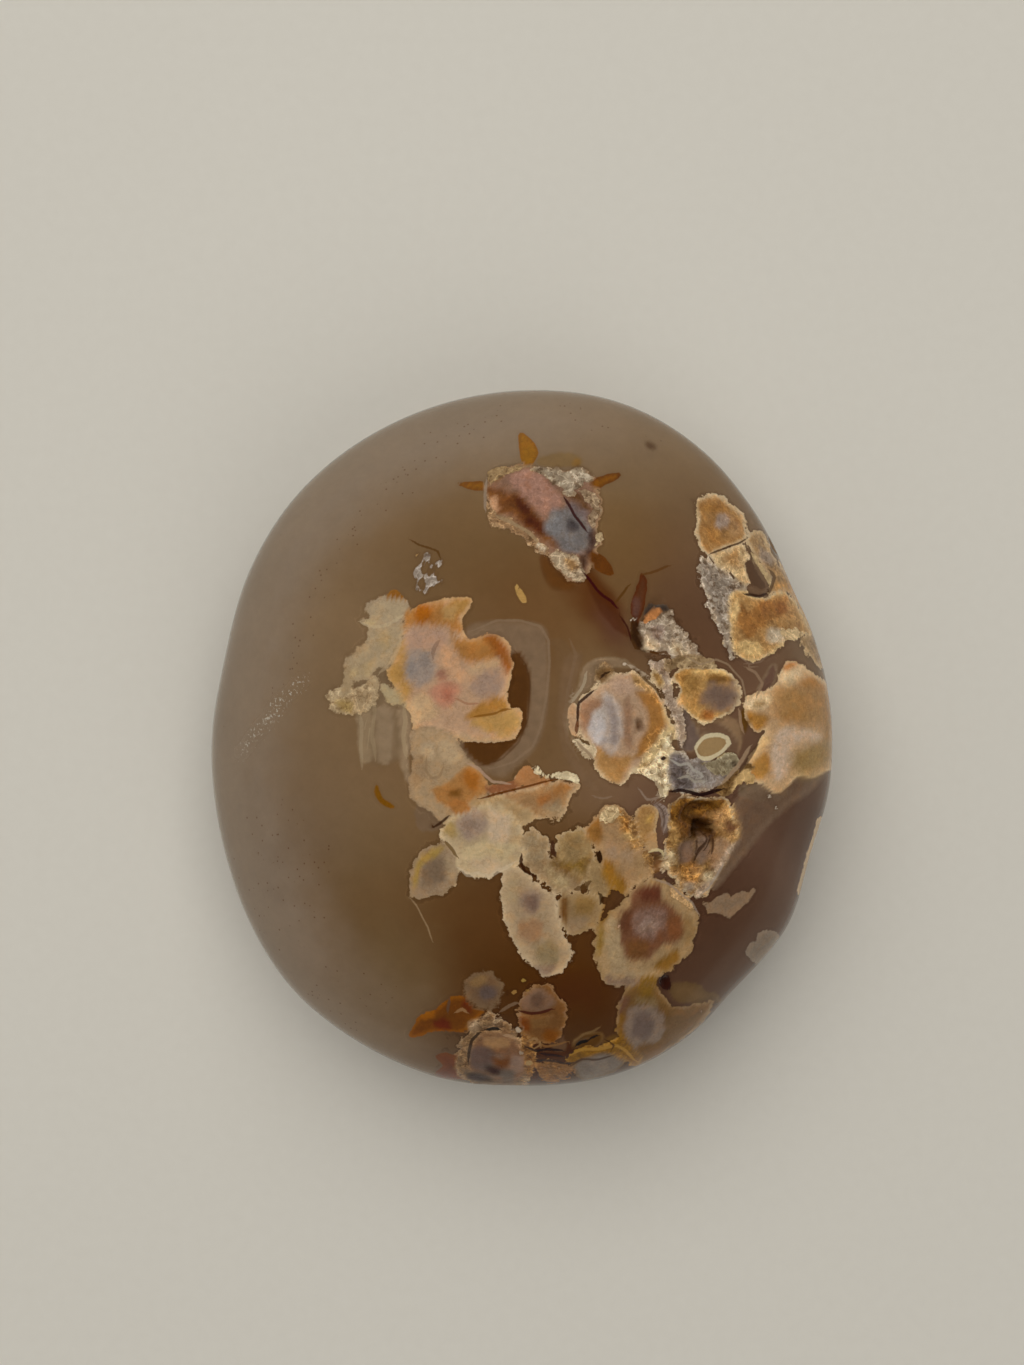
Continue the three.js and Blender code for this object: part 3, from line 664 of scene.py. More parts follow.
shades(plumes, [
    ([22.3, 14, 23.6, 13.7, 24.3, 12.1, 23.6, 11.4, 22.5, 12.4], (165, 124, 72)),
    ([20.8, 16.6, 21.8, 16.4, 22, 15.4, 21, 15.4], (140, 122, 106)),
    ([24.3, 12.1, 25.1, 11, 25.5, 9.7, 24.6, 10.2], (173, 136, 83)),
    ([22.2, 15.2, 23, 14.2, 22.9, 13.5, 22, 14.2], (150, 118, 78)),
])
plume(crusts, [19.5, 15.3, 20.1, 15.4, 20.8, 14.2, 21.3, 13.3, 20.8, 13, 19.9, 13.7],
    (91, 67, 49), ragged=0.06, torn=0.3)
plume(crusts, [20, 16.3, 20.6, 15.7, 21.3, 14.7, 21.9, 13.8, 21.7, 13.3, 21, 14.3, 20.3, 15.4],
    (187, 160, 117), crusty=0.4, ragged=0.06, torn=0.3)
plume(plumes, [18.1, 12.3, 19.1, 13, 20.2, 12.4, 21.5, 12.5, 22.9, 12.8, 23.9, 11.9, 25, 9.9,
    25.3, 9, 24.1, 9, 22.9, 8.4, 22.2, 7.7, 21.2, 7.2, 19.9, 6.8, 18.9, 7.2, 18.3, 8.2,
    18.2, 9.8],
    (161, 123, 76), (192, 162, 114), 0.45, crusty=0.5, ragged=0.1, pale=0.6)
shades(plumes, [
    ([18.7, 11, 19.2, 11.6, 19.7, 11, 21, 11.9, 22.3, 12.1, 23.2, 12.3, 23.1, 11.2, 22.2, 10.5,
     21, 9.8, 20.5, 9, 19.7, 8.8, 19.1, 9.5], (150, 103, 55)),
    ([19, 8.4, 20.4, 8.6, 21, 7.7, 19.9, 7.1, 19, 7.6], (192, 160, 108)),
    ([21.3, 9.5, 22.5, 9.7, 22.9, 8.8, 21.8, 8.3], (196, 178, 151)),
    ([22.2, 11.7, 23.1, 11.9, 23, 11, 22.2, 10.9], (136, 88, 45)),
    ([18.2, 11.7, 18.9, 12.1, 18.9, 10.7, 18.3, 10.2], (192, 160, 110)),
])
plume(crusts, [22.5, 9.3, 23.4, 9.7, 24.5, 9.5, 25, 9.1, 24.6, 8.8, 23.4, 8.5],
    (196, 168, 125), crusty=0.6, ragged=0.08)
cracks.draw([16.5, 16.1, 17.3, 16.4, 18.3, 16.8, 19, 17, 19.6, 17.4], 0.18, (70, 44, 25), 0.9,
    0.04, 0.05)
cracks.draw([19.5, 12.6, 20.2, 12.5, 20.8, 12.4, 21.4, 12.7], 0.26, (56, 36, 21), 0.95, 0.08,
    0.05)
cracks.draw([21.7, 14.7, 22.1, 14.1, 21.9, 13.4, 21.5, 12.6], 0.3, (84, 59, 36), 0.85, 0.04,
    0.05)

# The broad plate in the middle: a flower cut straight across, so that its layers show
# as rings, from a lilac-white heart through peach to ochre lobes and a cream crust.

plume(veils, [5.4, 6.2, 6.7, 7, 8.4, 7.1, 10, 6.2, 8.3, 6.2, 7.1, 5.8, 6.9, 4.8, 5.8, 4.1,
    5.1, 3.2, 4.4, 2.3, 4.4, 0.5, 4.9, -0.3, 4.3, 0.1, 3.8, 1.5, 4.1, 3, 4.9, 4.6],
    (132, 108, 82), (146, 122, 94), 0.4, dense=0.95, ragged=0.06, torn=0.4)
plume(plumes, [8.1, 5.7, 9.7, 5.9, 10.8, 5.2, 11.7, 4.4, 12.3, 3, 13, 1.5, 13.4, 0.6, 13, -1,
    12.1, -2.2, 11, -2.8, 9.7, -2.6, 9.3, -3.6, 8.5, -4, 7.5, -3.4, 6.4, -2.3, 6.2, -1.1,
    6, -0.4, 5, 0.5, 4.9, 2.3, 5.1, 3.4, 6.2, 4.3, 7.2, 5],
    (168, 138, 110), (190, 166, 130), 0.3, crusty=0.15, ragged=0.08, pale=0.6)
shades(plumes, [
    ([11, 0.3, 12.3, 1, 13.5, 0.3, 12.8, -1.5, 11.4, -2.9, 10.2, -2.7, 10.7, -1.1],
     (190, 166, 122), 0.9),
    ([9.7, 5.9, 10.9, 5.1, 11.9, 3.9, 12.4, 2.5, 11.7, 2.9, 10.9, 4.1, 9.8, 5], (160, 124, 76),
     0.8),
    ([5.1, 2.9, 6.3, 3.5, 7.1, 3, 6.9, 1.8, 6.2, 1, 5.1, 1.1], (150, 112, 84)),
    ([7.1, 4.1, 8, 3.6, 8.7, 2.5, 8.8, 1, 8.5, -0.6, 7.7, -1.5, 6.7, -0.4, 6.1, 0.8, 6.4, 2,
     7, 3], (172, 157, 146)),
    ([6.2, 2.3, 7, 2.7, 7.4, 1.5, 6.9, 0.1, 6.2, 0.8], (182, 170, 160)),
    ([6.5, 1, 7.4, 1, 7.4, -0.4, 6.6, -0.3], (160, 148, 142)),
    ([7.3, 3.4, 7.9, 3.1, 8.3, 2, 8.4, 0.8, 8.3, -0.4, 7.8, -0.5, 7.8, 1, 7.7, 2.2],
     (145, 130, 123)),
    ([6, 1.5, 6.8, 2.2, 7.3, 1.3, 7.2, 0.1, 6.5, -0.3, 6, 0.4], (188, 178, 173)),
    ([9, 3.4, 9.6, 2.9, 9.6, -0.5, 9, -0.5], (140, 108, 84)),
    ([10.1, 4.1, 11.2, 4.1, 12.3, 3.2, 12.8, 1.7, 12.1, 0.3, 11, -1, 10, -1.6, 10.3, -0.1,
     11, 0.8, 11, 2.3, 10.4, 3.4], (152, 105, 52)),
    ([6.7, -0.6, 7.9, -1.6, 9.7, -1.5, 9.1, -2.9, 8.7, -3.8, 7.6, -3.6, 6.5, -2.3],
     (164, 122, 72)),
    ([12.3, 2.9, 13.1, 1.5, 13.4, 0.1, 12.4, -1.1, 11.4, -2.5, 10.3, -2.8, 10.5, -2.2,
     11.9, -0.8, 12.8, 0.6], (194, 166, 118)),
    ([10.1, 1.7, 10.6, 1.5, 10.6, 0.7, 10.1, 0.8], (90, 60, 38)),
    ([7.9, 5.1, 9.3, 5.5, 9.7, 4.3, 8.8, 3.7, 7.9, 4.3], (172, 142, 118)),
], soft=0.26, ragged=0.12)
plume(crusts, [4.5, -0.1, 5.5, -0.3, 6.6, -0.8, 6.4, -1.8, 5.8, -1.8, 5.1, -1],
    (196, 174, 140), crusty=0.35, ragged=0.08)
plume(plumes, [6.5, 6, 7.4, 6.5, 8.4, 6.3, 7.9, 5.6, 7, 4.8, 6.5, 5.3],
    (112, 84, 52), (140, 114, 82), 0.3, crusty=0.5, ragged=0.2, torn=0.9, crisp=0.5)
# Painted shade in the small pit here, drawn as a short dark line.
cracks.draw([7, 5.3, 7.3, 5.7, 7.7, 5.8], 0.2, (46, 30, 18), 0.8, 0, 0.04)
plume(plumes, [4.5, 3.1, 4.9, 2.7, 4.9, 1.5, 4.8, 0.3, 4.3, 0.9, 4.1, 2.2],
    (168, 136, 104), ragged=0.05, torn=0.3)
cracks.draw([6.3, 4.2, 5.7, 3.7, 5, 3.1, 4.9, 1.5], 0.26, (48, 26, 14), 0.92, 0.08, 0.05)
cracks.draw([4.9, 1.5, 4.8, 0.6], 0.34, (94, 48, 22), 0.85, 0, 0.05)
threads.draw([4.9, -0.3, 5.6, -1, 6.2, -1.7], 0.26, (150, 125, 98), 0.85)
threads.draw([9.8, 6.2, 10.5, 5.6, 11.2, 4.8, 11.8, 4.2, 12.2, 3.5], 0.22, (82, 56, 32), 0.85)
threads.draw([5.7, 5.8, 5.5, 5, 5.1, 4.1, 4.4, 3.2], 0.28, (162, 144, 118), 0.85)
threads.draw([9.3, 6.5, 10.3, 5.9, 11, 5.5], 0.3, (170, 150, 125), 0.85)
plume(plumes, [11.2, 6.5, 12.1, 6.9, 12.8, 6, 13, 4.6, 14, 2.3, 14.3, 0.8, 13.9, -0.6,
    13.5, 0.8, 12.8, 2.9, 12.3, 4.3, 11.9, 5.7],
    (150, 131, 113), (172, 153, 131), 0.25, crusty=0.75, dense=0.8, torn=0.9)
plume(crusts, [11.4, 5.8, 12.2, 5.7, 12.5, 5.1, 12.3, 4.3, 11.7, 4.4, 11.4, 5],
    (150, 114, 66), (186, 162, 126), 0.3, crusty=0.5, ragged=0.18, torn=0.8)
plume(veils, [13.3, 2.9, 14.9, 1.7, 16.6, 1.5, 17.7, 2.3, 19.2, 0.8, 18.9, -1.2, 17, 0.2,
    15.4, -0.3, 14.7, -1.1, 13.8, -0.1],
    (136, 108, 80), dense=0.95, ragged=0.12, torn=0.4)
plume(plumes, [9.7, -2.9, 11, -2.2, 12.1, -1.1, 12.8, 0.4, 13.3, 0.3, 13.1, -1.1, 12.8, -2.5,
    12.7, -4, 12.4, -5.3, 12, -4.7, 11.7, -3.7, 10.8, -3.1],
    (192, 174, 140), crusty=0.9, ragged=0.12)
plume(plumes, [12.8, -1.5, 13.8, -1.1, 14.7, -1.7, 15.9, -1.5, 17, -2.2, 18, -2, 18.7, -2.7,
    17.7, -3.8, 15.9, -4.4, 14, -4.6, 12.8, -3.9],
    (106, 96, 92), (150, 136, 118), 0.4, crusty=0.7, ragged=0.15)
shades(plumes, [
    ([13.3, -2.3, 14.2, -2.7, 14.5, -3.9, 13.5, -3.9], (88, 78, 74)),
    ([16.5, -2.5, 17.2, -2.6, 17.3, -3.3, 16.6, -3.3], (80, 66, 56)),
    ([14.5, -2, 15.6, -1.6, 17.5, -2.1, 18.2, -2.8, 17, -3.8, 15.6, -4.2, 14.7, -3.2],
     (134, 123, 114), 0.5),
], soft=0.4)
threads.draw([13, -1.8, 13.8, -2.3, 14.6, -2.1, 15, -2.7, 15.7, -3, 15.9, -3.9], 0.24,
    (168, 160, 148), 0.75)
threads.draw([13.7, -3.4, 14.5, -3.1, 15.1, -3.7, 16.1, -3.5], 0.22, (160, 150, 134), 0.7)

plume(veils, [14.2, 3, 15, 1.5, 15.6, 0.1, 14.9, -1.1, 13.8, -0.8, 13.5, 0.8, 13.7, 2.3],
    (110, 92, 82), (138, 118, 100), 0.2, dense=0.9, ragged=0.06, torn=0.3)
plume(veils, [15.6, 1.3, 17.5, 1.3, 18.7, 0.1, 19, -1.1, 18.5, -2, 17.7, -0.4, 16.3, 0.4,
    15.4, 0.3],
    (112, 86, 66), (138, 114, 88), 0.2, dense=0.9, ragged=0.06, torn=0.3)
plume(crusts, [15.7, -2, 17, -1.7, 18.3, -1.3, 19.2, -2, 18.7, -3, 17.5, -3.2, 16.3, -2.7],
    (132, 118, 92), (160, 146, 116), 0.25, crusty=0.7, ragged=0.12)
plume(crusts, [17.7, -3.6, 18.9, -2.7, 19.9, -2, 20.4, -2.5, 19.6, -3.6, 18.5, -4.6, 17.7, -5,
    16.6, -4.6],
    (112, 84, 50), (140, 112, 76), 0.2, crusty=0.8, ragged=0.1, torn=0.5)
plume(crusts, [12.4, 6.5, 13.5, 7.2, 14.7, 7.4, 15.9, 7, 15.6, 6.5, 14.2, 6.5, 13.1, 5.8],
    (120, 96, 66), (150, 124, 92), 0.2, crusty=0.8, ragged=0.08, torn=0.5)

# The ochre lobe right of the middle and the cream ring below it, a small tube of
# chalcedony cut across, with blue-grey quartz and a dark seam under both.

plume(plumes, [13.1, 5.5, 14.2, 6.3, 15.6, 6.3, 17.1, 6.1, 18.4, 5.4, 19, 4.2, 18.9, 3,
    18.2, 2.3, 17, 1.6, 15.9, 1.3, 14.7, 2, 13.7, 3.2, 13.8, 4.3],
    (167, 128, 76), (196, 171, 130), 0.28, crusty=0.4, ragged=0.12, pale=0.8)
shades(plumes, [
    ([14, 5.7, 15.4, 5.5, 15.4, 4.3, 14.3, 3.9], (148, 111, 62), 0.5),
    ([15.2, 6.1, 17.7, 6, 17.8, 5.5, 15.6, 5.4], (198, 165, 109)),
    ([15.7, 2.5, 16.8, 2.5, 16.8, 1.7, 15.9, 1.7], (154, 97, 49)),
    ([13.7, 3.6, 14.3, 3.7, 14.3, 2.9, 13.8, 2.9], (192, 144, 87)),
    ([16.1, 5.7, 17.8, 5.4, 18.2, 4.8, 16.6, 5], (119, 84, 43)),
    ([18.4, 4.8, 19, 4.1, 18.9, 2.9, 18.3, 2.3, 18.5, 3.6], (192, 167, 128), 0.6),
])
shades(plumes, [
    ([15.8, 3.7, 16.7, 4.6, 17.9, 4.7, 18.7, 3.9, 18.6, 2.7, 17.5, 2.2, 16.3, 2.6],
     (124, 102, 87), 0),
    ([16.6, 4.1, 17.8, 4.3, 18.3, 3.4, 17.8, 2.6, 16.8, 2.9], (112, 92, 80), 0),
], soft=0.5, ragged=0.5)
plume(crusts, [13.5, 6.5, 14.9, 7.1, 16.3, 7.1, 17.1, 6.5, 17, 6.1, 15.2, 6.2, 13.8, 6],
    (157, 132, 97), crusty=0.7, ragged=0.1)
plume(crusts, [15.3, -1.1, 15.3, -0.4, 16.1, 0.2, 17.1, 0.3, 17.8, -0.1, 17.7, -0.9, 16.8, -1.6,
    15.9, -1.7],
    (154, 126, 87), (144, 115, 78), 0.3, ragged=0.03, torn=0.1)
threads.draw([15.2, -1.1, 15.1, -0.7, 15.4, -0.3, 15.9, 0.1, 16.6, 0.3, 17.3, 0.3, 17.9, 0,
    18.1, -0.5, 17.7, -1, 17.1, -1.3, 16.5, -1.6, 15.8, -1.7, 15.4, -1.5, 15.2, -1.1], 0.34,
    (206, 190, 154), 0.9, 0, 0.3)
plume(plumes, [17.1, -1.6, 18.3, -1.4, 18.3, -2.4, 17.3, -2.5],
    (136, 117, 82), crusty=0.7, ragged=0.1)
threads.draw([19.9, -0.7, 19.4, -1.7, 18.9, -2.5, 18.2, -3.2, 17.5, -3.9], 0.32,
    (154, 128, 101), 0.85)
cracks.draw([20.5, -0.6, 19.8, -1.8, 19, -3], 0.3, (82, 60, 45), 0.8)
cracks.draw([13, -4.6, 13.8, -4.4, 15, -4.7, 15.7, -4.9, 17, -4.5, 17.6, -4.4], 0.32,
    (37, 23, 14), 0.95, 0.12, 0.06)
plume(veils, [19, 2.3, 19.7, 2.5, 19.7, 0.8, 19.2, 0.6],
    (95, 64, 25), dense=0.9, ragged=0.05, torn=0.2)
threads.draw([19, 2.5, 19.1, 1.5, 19.3, 0.6], 0.24, (150, 122, 95), 0.85)
threads.draw([19.6, 6.2, 20.4, 5.8, 21, 4.8, 20.5, 3.7], 0.24, (144, 118, 93), 0.8)
plume(veils, [20.5, 4.1, 21, 5.1, 21.7, 6.4, 22.2, 6.3, 22.1, 5, 21.2, 3.8],
    (105, 78, 64), (142, 119, 93), 0.2, dense=0.9, ragged=0.05, torn=0.3)

# The large flower at the right: lobes of cream, peach and amber that grew together, cut
# off by the rim, so that they run on down the side.

plume(plumes, [19.5, 2.6, 19.7, 3.6, 21.1, 4.1, 22.2, 4.8, 22.6, 5.9, 23.4, 6.7, 24.3, 6.4,
    25.4, 5.6, 26.6, 4.8, 27.9, 3.6, 28.6, 2, 28.3, 0.4, 29.1, -1, 27.9, -2.3, 26.5, -2.9,
    25.3, -3.4, 24.1, -3.3, 23.2, -4.2, 22.2, -4.8, 21, -4, 19.8, -3.2, 19.7, -1.8, 20.8, -0.3,
    21.2, 0.7, 20.3, 0.6, 19.7, 1.7],
    (180, 147, 110), (194, 164, 124), 0.4, crusty=0.14, ragged=0.08, torn=0.4, pale=0.5)
shades(plumes, [
    ([22.5, 5.7, 23.6, 6.3, 24.3, 5.9, 24.1, 5, 23.2, 4.4, 22.6, 4.9], (212, 186, 148)),
    ([22.9, 6.4, 24, 6.7, 23.7, 6.1, 23, 6], (170, 112, 60)),
    ([24.5, 5.1, 25.7, 5.3, 26.3, 4.3, 25.7, 4.1, 24.6, 4.5], (156, 108, 52)),
    ([26.2, 4.3, 26.8, 2.9, 26.9, 1, 26.6, -0.4, 26.2, 1.5], (158, 118, 66)),
    ([19.5, 3, 20.6, 3.7, 21.9, 3.7, 21.5, 2.8, 19.9, 2.5], (214, 190, 152), 0.5),
    ([20.3, 3.2, 21.2, 3.2, 21.1, 2.8, 20.3, 2.7], (160, 128, 86), 0.3),
    ([19.5, 2.4, 21.5, 1.9, 21.1, 0.9, 20.3, 0.6, 19.7, 1.7], (150, 106, 50), 0.3),
    ([19.5, 1.8, 19.9, 1.7, 19.7, 1], (98, 62, 16)),
    ([21, 0.3, 21.5, -0.3, 20.6, -1.3, 20.3, -2.3, 19.9, -1.7, 20.4, -0.6], (208, 172, 120)),
    ([20.1, -2.3, 21, -1.2, 21.7, -1.7, 21.5, -2.9, 20.8, -3.7, 20.1, -3.2], (172, 124, 62)),
    ([22, -0.3, 22.9, 1, 24.6, 1, 26.2, 0.1, 25, -1.1, 23.9, -1.8, 23.1, -3.1, 22.2, -3.7,
     21.7, -2.2], (196, 171, 147)),
    ([22.7, 2.4, 24.8, 2.3, 24.8, 1.7, 22.8, 1.7], (164, 118, 70)),
    ([22.2, 3.9, 24.3, 4.1, 24.4, 2.7, 22.5, 2.7], (188, 157, 118)),
], soft=0.3, ragged=0.14)
shades(plumes, [
    ([23.9, -0.8, 26.9, -0.3, 26.9, -1.7, 25.7, -3, 24.3, -3.2, 23.6, -2], (148, 120, 74)),
    ([22.2, 4.1, 24.3, 4.8, 26.7, 4.3, 27.2, 1.8, 25.3, 1.1, 22.7, 1.7], (160, 122, 76)),
], soft=0.9, ragged=0.2)
plume(crusts, [19.2, -2.9, 19.9, -2.7, 20.3, -3.7, 19.4, -3.9, 18.3, -4.6, 18.6, -3.7],
    (194, 160, 108), crusty=0.4, ragged=0.08)
plume(veils, [19, -4.1, 20.8, -3.9, 23.4, -4.4, 23, -5.3, 20.8, -5.5, 19.2, -5.1],
    (120, 100, 78), dense=0.8, ragged=0.2)

# The walls of the brown hollow at the lower right, crusted with amber and brown quartz
# round a pink floor, and the lobes with a yellow stain beside it. The dark in its bowl,
# its throat, under its upper rim and in the slits of its floor is painted shade.

plume(plumes, [12.9, -5.8, 14.2, -4.9, 15.6, -5.3, 17.1, -4.9, 18.3, -5.6, 18.6, -7, 19, -8.1,
    18.2, -10.1, 17, -12.1, 15.7, -13.7, 14.3, -13.3, 13.1, -11.9, 12.4, -10.5, 12.8, -8.3],
    (122, 91, 52), (146, 114, 72), 0.4, crusty=0.8, ragged=0.12, pale=0.9)
shades(plumes, [
    ([13, -5.6, 14.2, -5, 15.6, -5.4, 17.1, -5, 17.8, -5.3, 17.5, -6.3, 16.4, -6.8, 15.4, -6.9,
     14.2, -7.2, 13.3, -7.6, 12.8, -6.9], (116, 80, 34), 1),
    # Painted shade in the bowl, darkest in the throat, over the brown of the crust:
    ([13.5, -6.9, 14.3, -6.3, 15.4, -6.6, 16.6, -6.8, 17, -7.4, 17, -8.4, 16.4, -9, 15.6, -8.6,
     14.7, -8.6, 13.8, -8.8], (98, 66, 34), 0.8),
    ([14.7, -7.4, 15.3, -6.9, 16.2, -7, 16.8, -7.5, 16.8, -8.4, 16.7, -9, 16.4, -8.4,
     15.8, -8.4, 15.2, -8.7, 14.9, -8.2], (56, 37, 24), 0.4),
    ([12.7, -7.2, 13.5, -7.4, 13.8, -8.3, 13.7, -9.3, 13, -9.8, 12.5, -9.3], (140, 106, 62),
     0.9),
    ([13.6, -9.4, 14.4, -9, 15.2, -8.8, 15.4, -9.8, 15.2, -10.7, 14.7, -11.2, 14, -11],
     (130, 104, 86), 0),
    ([15.6, -8.8, 16.3, -8.5, 16.5, -9.5, 16.3, -10.4, 15.7, -11, 15.5, -10.3], (122, 100, 84),
     0),
    ([17, -6.7, 17.5, -5.9, 18.2, -5.7, 18.6, -6.3, 18.3, -7.2, 18.9, -8.1, 18.8, -8.9,
     18.2, -8.8, 17.4, -8.2, 16.9, -7.7], (172, 132, 84), 0.7),
    ([16.8, -8.7, 17.7, -8.8, 18.4, -9.3, 17.9, -10.3, 17.2, -11.1, 16.5, -11.1],
     (156, 124, 94), 0.2),
    ([12.6, -11.2, 13.5, -11.6, 14.7, -11.7, 15.7, -11.4, 16.5, -11.7, 16.1, -12.6, 15.4, -13.1,
     14.3, -12.9, 13.5, -12.3], (166, 134, 94), 0.9),
    ([18.9, -8.8, 18.3, -9.9, 17.6, -11, 16.8, -12.1, 15.9, -13.2, 15.4, -13.9, 15.1, -13.4,
     16.1, -12.3, 17, -11.2, 17.8, -9.8], (168, 146, 124), 0.7),
    ([17.7, -5, 18.5, -5.6, 18.8, -6.7, 19.1, -8.1, 18.7, -8.6, 18.3, -7.2, 18, -6],
     (196, 158, 104), 0.9),
    ([17.9, -7.1, 18.4, -7.1, 18.8, -7.7, 18.3, -8.1, 17.9, -7.9], (106, 70, 48), 0.4),
    ([16, -11.6, 16.6, -11.6, 16.9, -12.1, 16.3, -12.3, 15.9, -12.1], (190, 172, 138), 0.6),
    ([14.3, -12.4, 15, -12.3, 15.1, -13, 14.5, -13.4], (138, 122, 106), 0.2),
    ([13.8, -11.2, 14.7, -11, 15.6, -11.3, 15.5, -12.3, 14.5, -12.4, 13.9, -12.1],
     (160, 116, 62), 1),
    ([12.4, -9.7, 13, -9.7, 13.2, -10.3, 12.8, -11.2, 12.4, -10.9], (198, 176, 138), 0.8),
    # Painted shade along the upper wall, under the rim:
    ([13.5, -5.8, 14.7, -5.3, 16.1, -5.6, 17, -5.8, 15.9, -6.3, 14.7, -6.3, 13.8, -6.7],
     (84, 54, 26), 1),
], soft=0.26, ragged=0.2)
# Painted shade in the narrow slits of the hollow's floor.
cracks.draw([16.3, -8.5, 15.9, -9.5, 15.6, -10.3, 15.4, -10.8], 0.2, (60, 40, 28), 0.85, 0,
    0.04)
threads.draw([15.5, -8.8, 15.6, -9.5, 15.5, -10.2], 0.14, (70, 48, 34), 0.8, 0, 0.04)
cracks.draw([16.7, -8.6, 16.7, -9.3, 16.6, -10], 0.2, (66, 44, 30), 0.85, 0, 0.04)
threads.draw([17.6, -10.9, 17, -11.9, 16.2, -13.1, 15.7, -13.4], 0.2, (160, 144, 130), 0.75, 0,
    0.04)
plume(plumes, [11, -10.3, 11.7, -10, 12.4, -10.5, 12.2, -11.4, 11.6, -11.6, 11, -11],
    (114, 82, 52), (96, 66, 38), 0.3, ragged=0.05, torn=0.3)
threads.draw([11.1, -9.9, 11.7, -9.6, 12.2, -9.8, 12.3, -10.3], 0.24, (200, 180, 135), 0.85)
plume(plumes, [10.2, -6, 11.2, -5.7, 11.8, -6.3, 11.7, -7.7, 11.4, -8.8, 10.9, -9.4, 10.2, -8.6,
    10, -7.2],
    (148, 112, 68), (160, 132, 96), 0.25, crusty=0.2, ragged=0.06, torn=0.4, pale=0.4)
shades(plumes, [([11, -6.8, 11.5, -6.8, 11.4, -7.4, 11, -7.3], (180, 142, 76))], soft=0.26)
plume(veils, [11.7, -5.5, 12.3, -5.8, 12.9, -6.5, 13, -7.6, 12.7, -8.2, 12.3, -7.9, 12.4, -7,
    12.1, -6.3, 11.6, -5.9],
    (126, 106, 94), ragged=0.03, torn=0.1)
threads.draw([12, -5.6, 12.6, -6, 12.8, -6.7, 12.6, -7.6, 12.4, -8.1], 0.16, (150, 131, 119),
    0.8, 0, 0.04)
cracks.draw([11.8, -5.7, 12.3, -6.2, 12.5, -6.9, 12.4, -7.7], 0.14, (84, 66, 56), 0.7, 0, 0.04)
threads.draw([11.5, -5.7, 12, -6.2, 12.3, -7, 12.2, -7.8], 0.14, (140, 122, 110), 0.7, 0, 0.04)
threads.draw([11.7, -3.7, 12.1, -4.4, 12.2, -5.1], 0.34, (170, 150, 120), 0.85)

# The peach flower at the left: open petals of cloudy chalcedony with a blue-lilac heart,
# a pink blush and tips turned orange by iron.

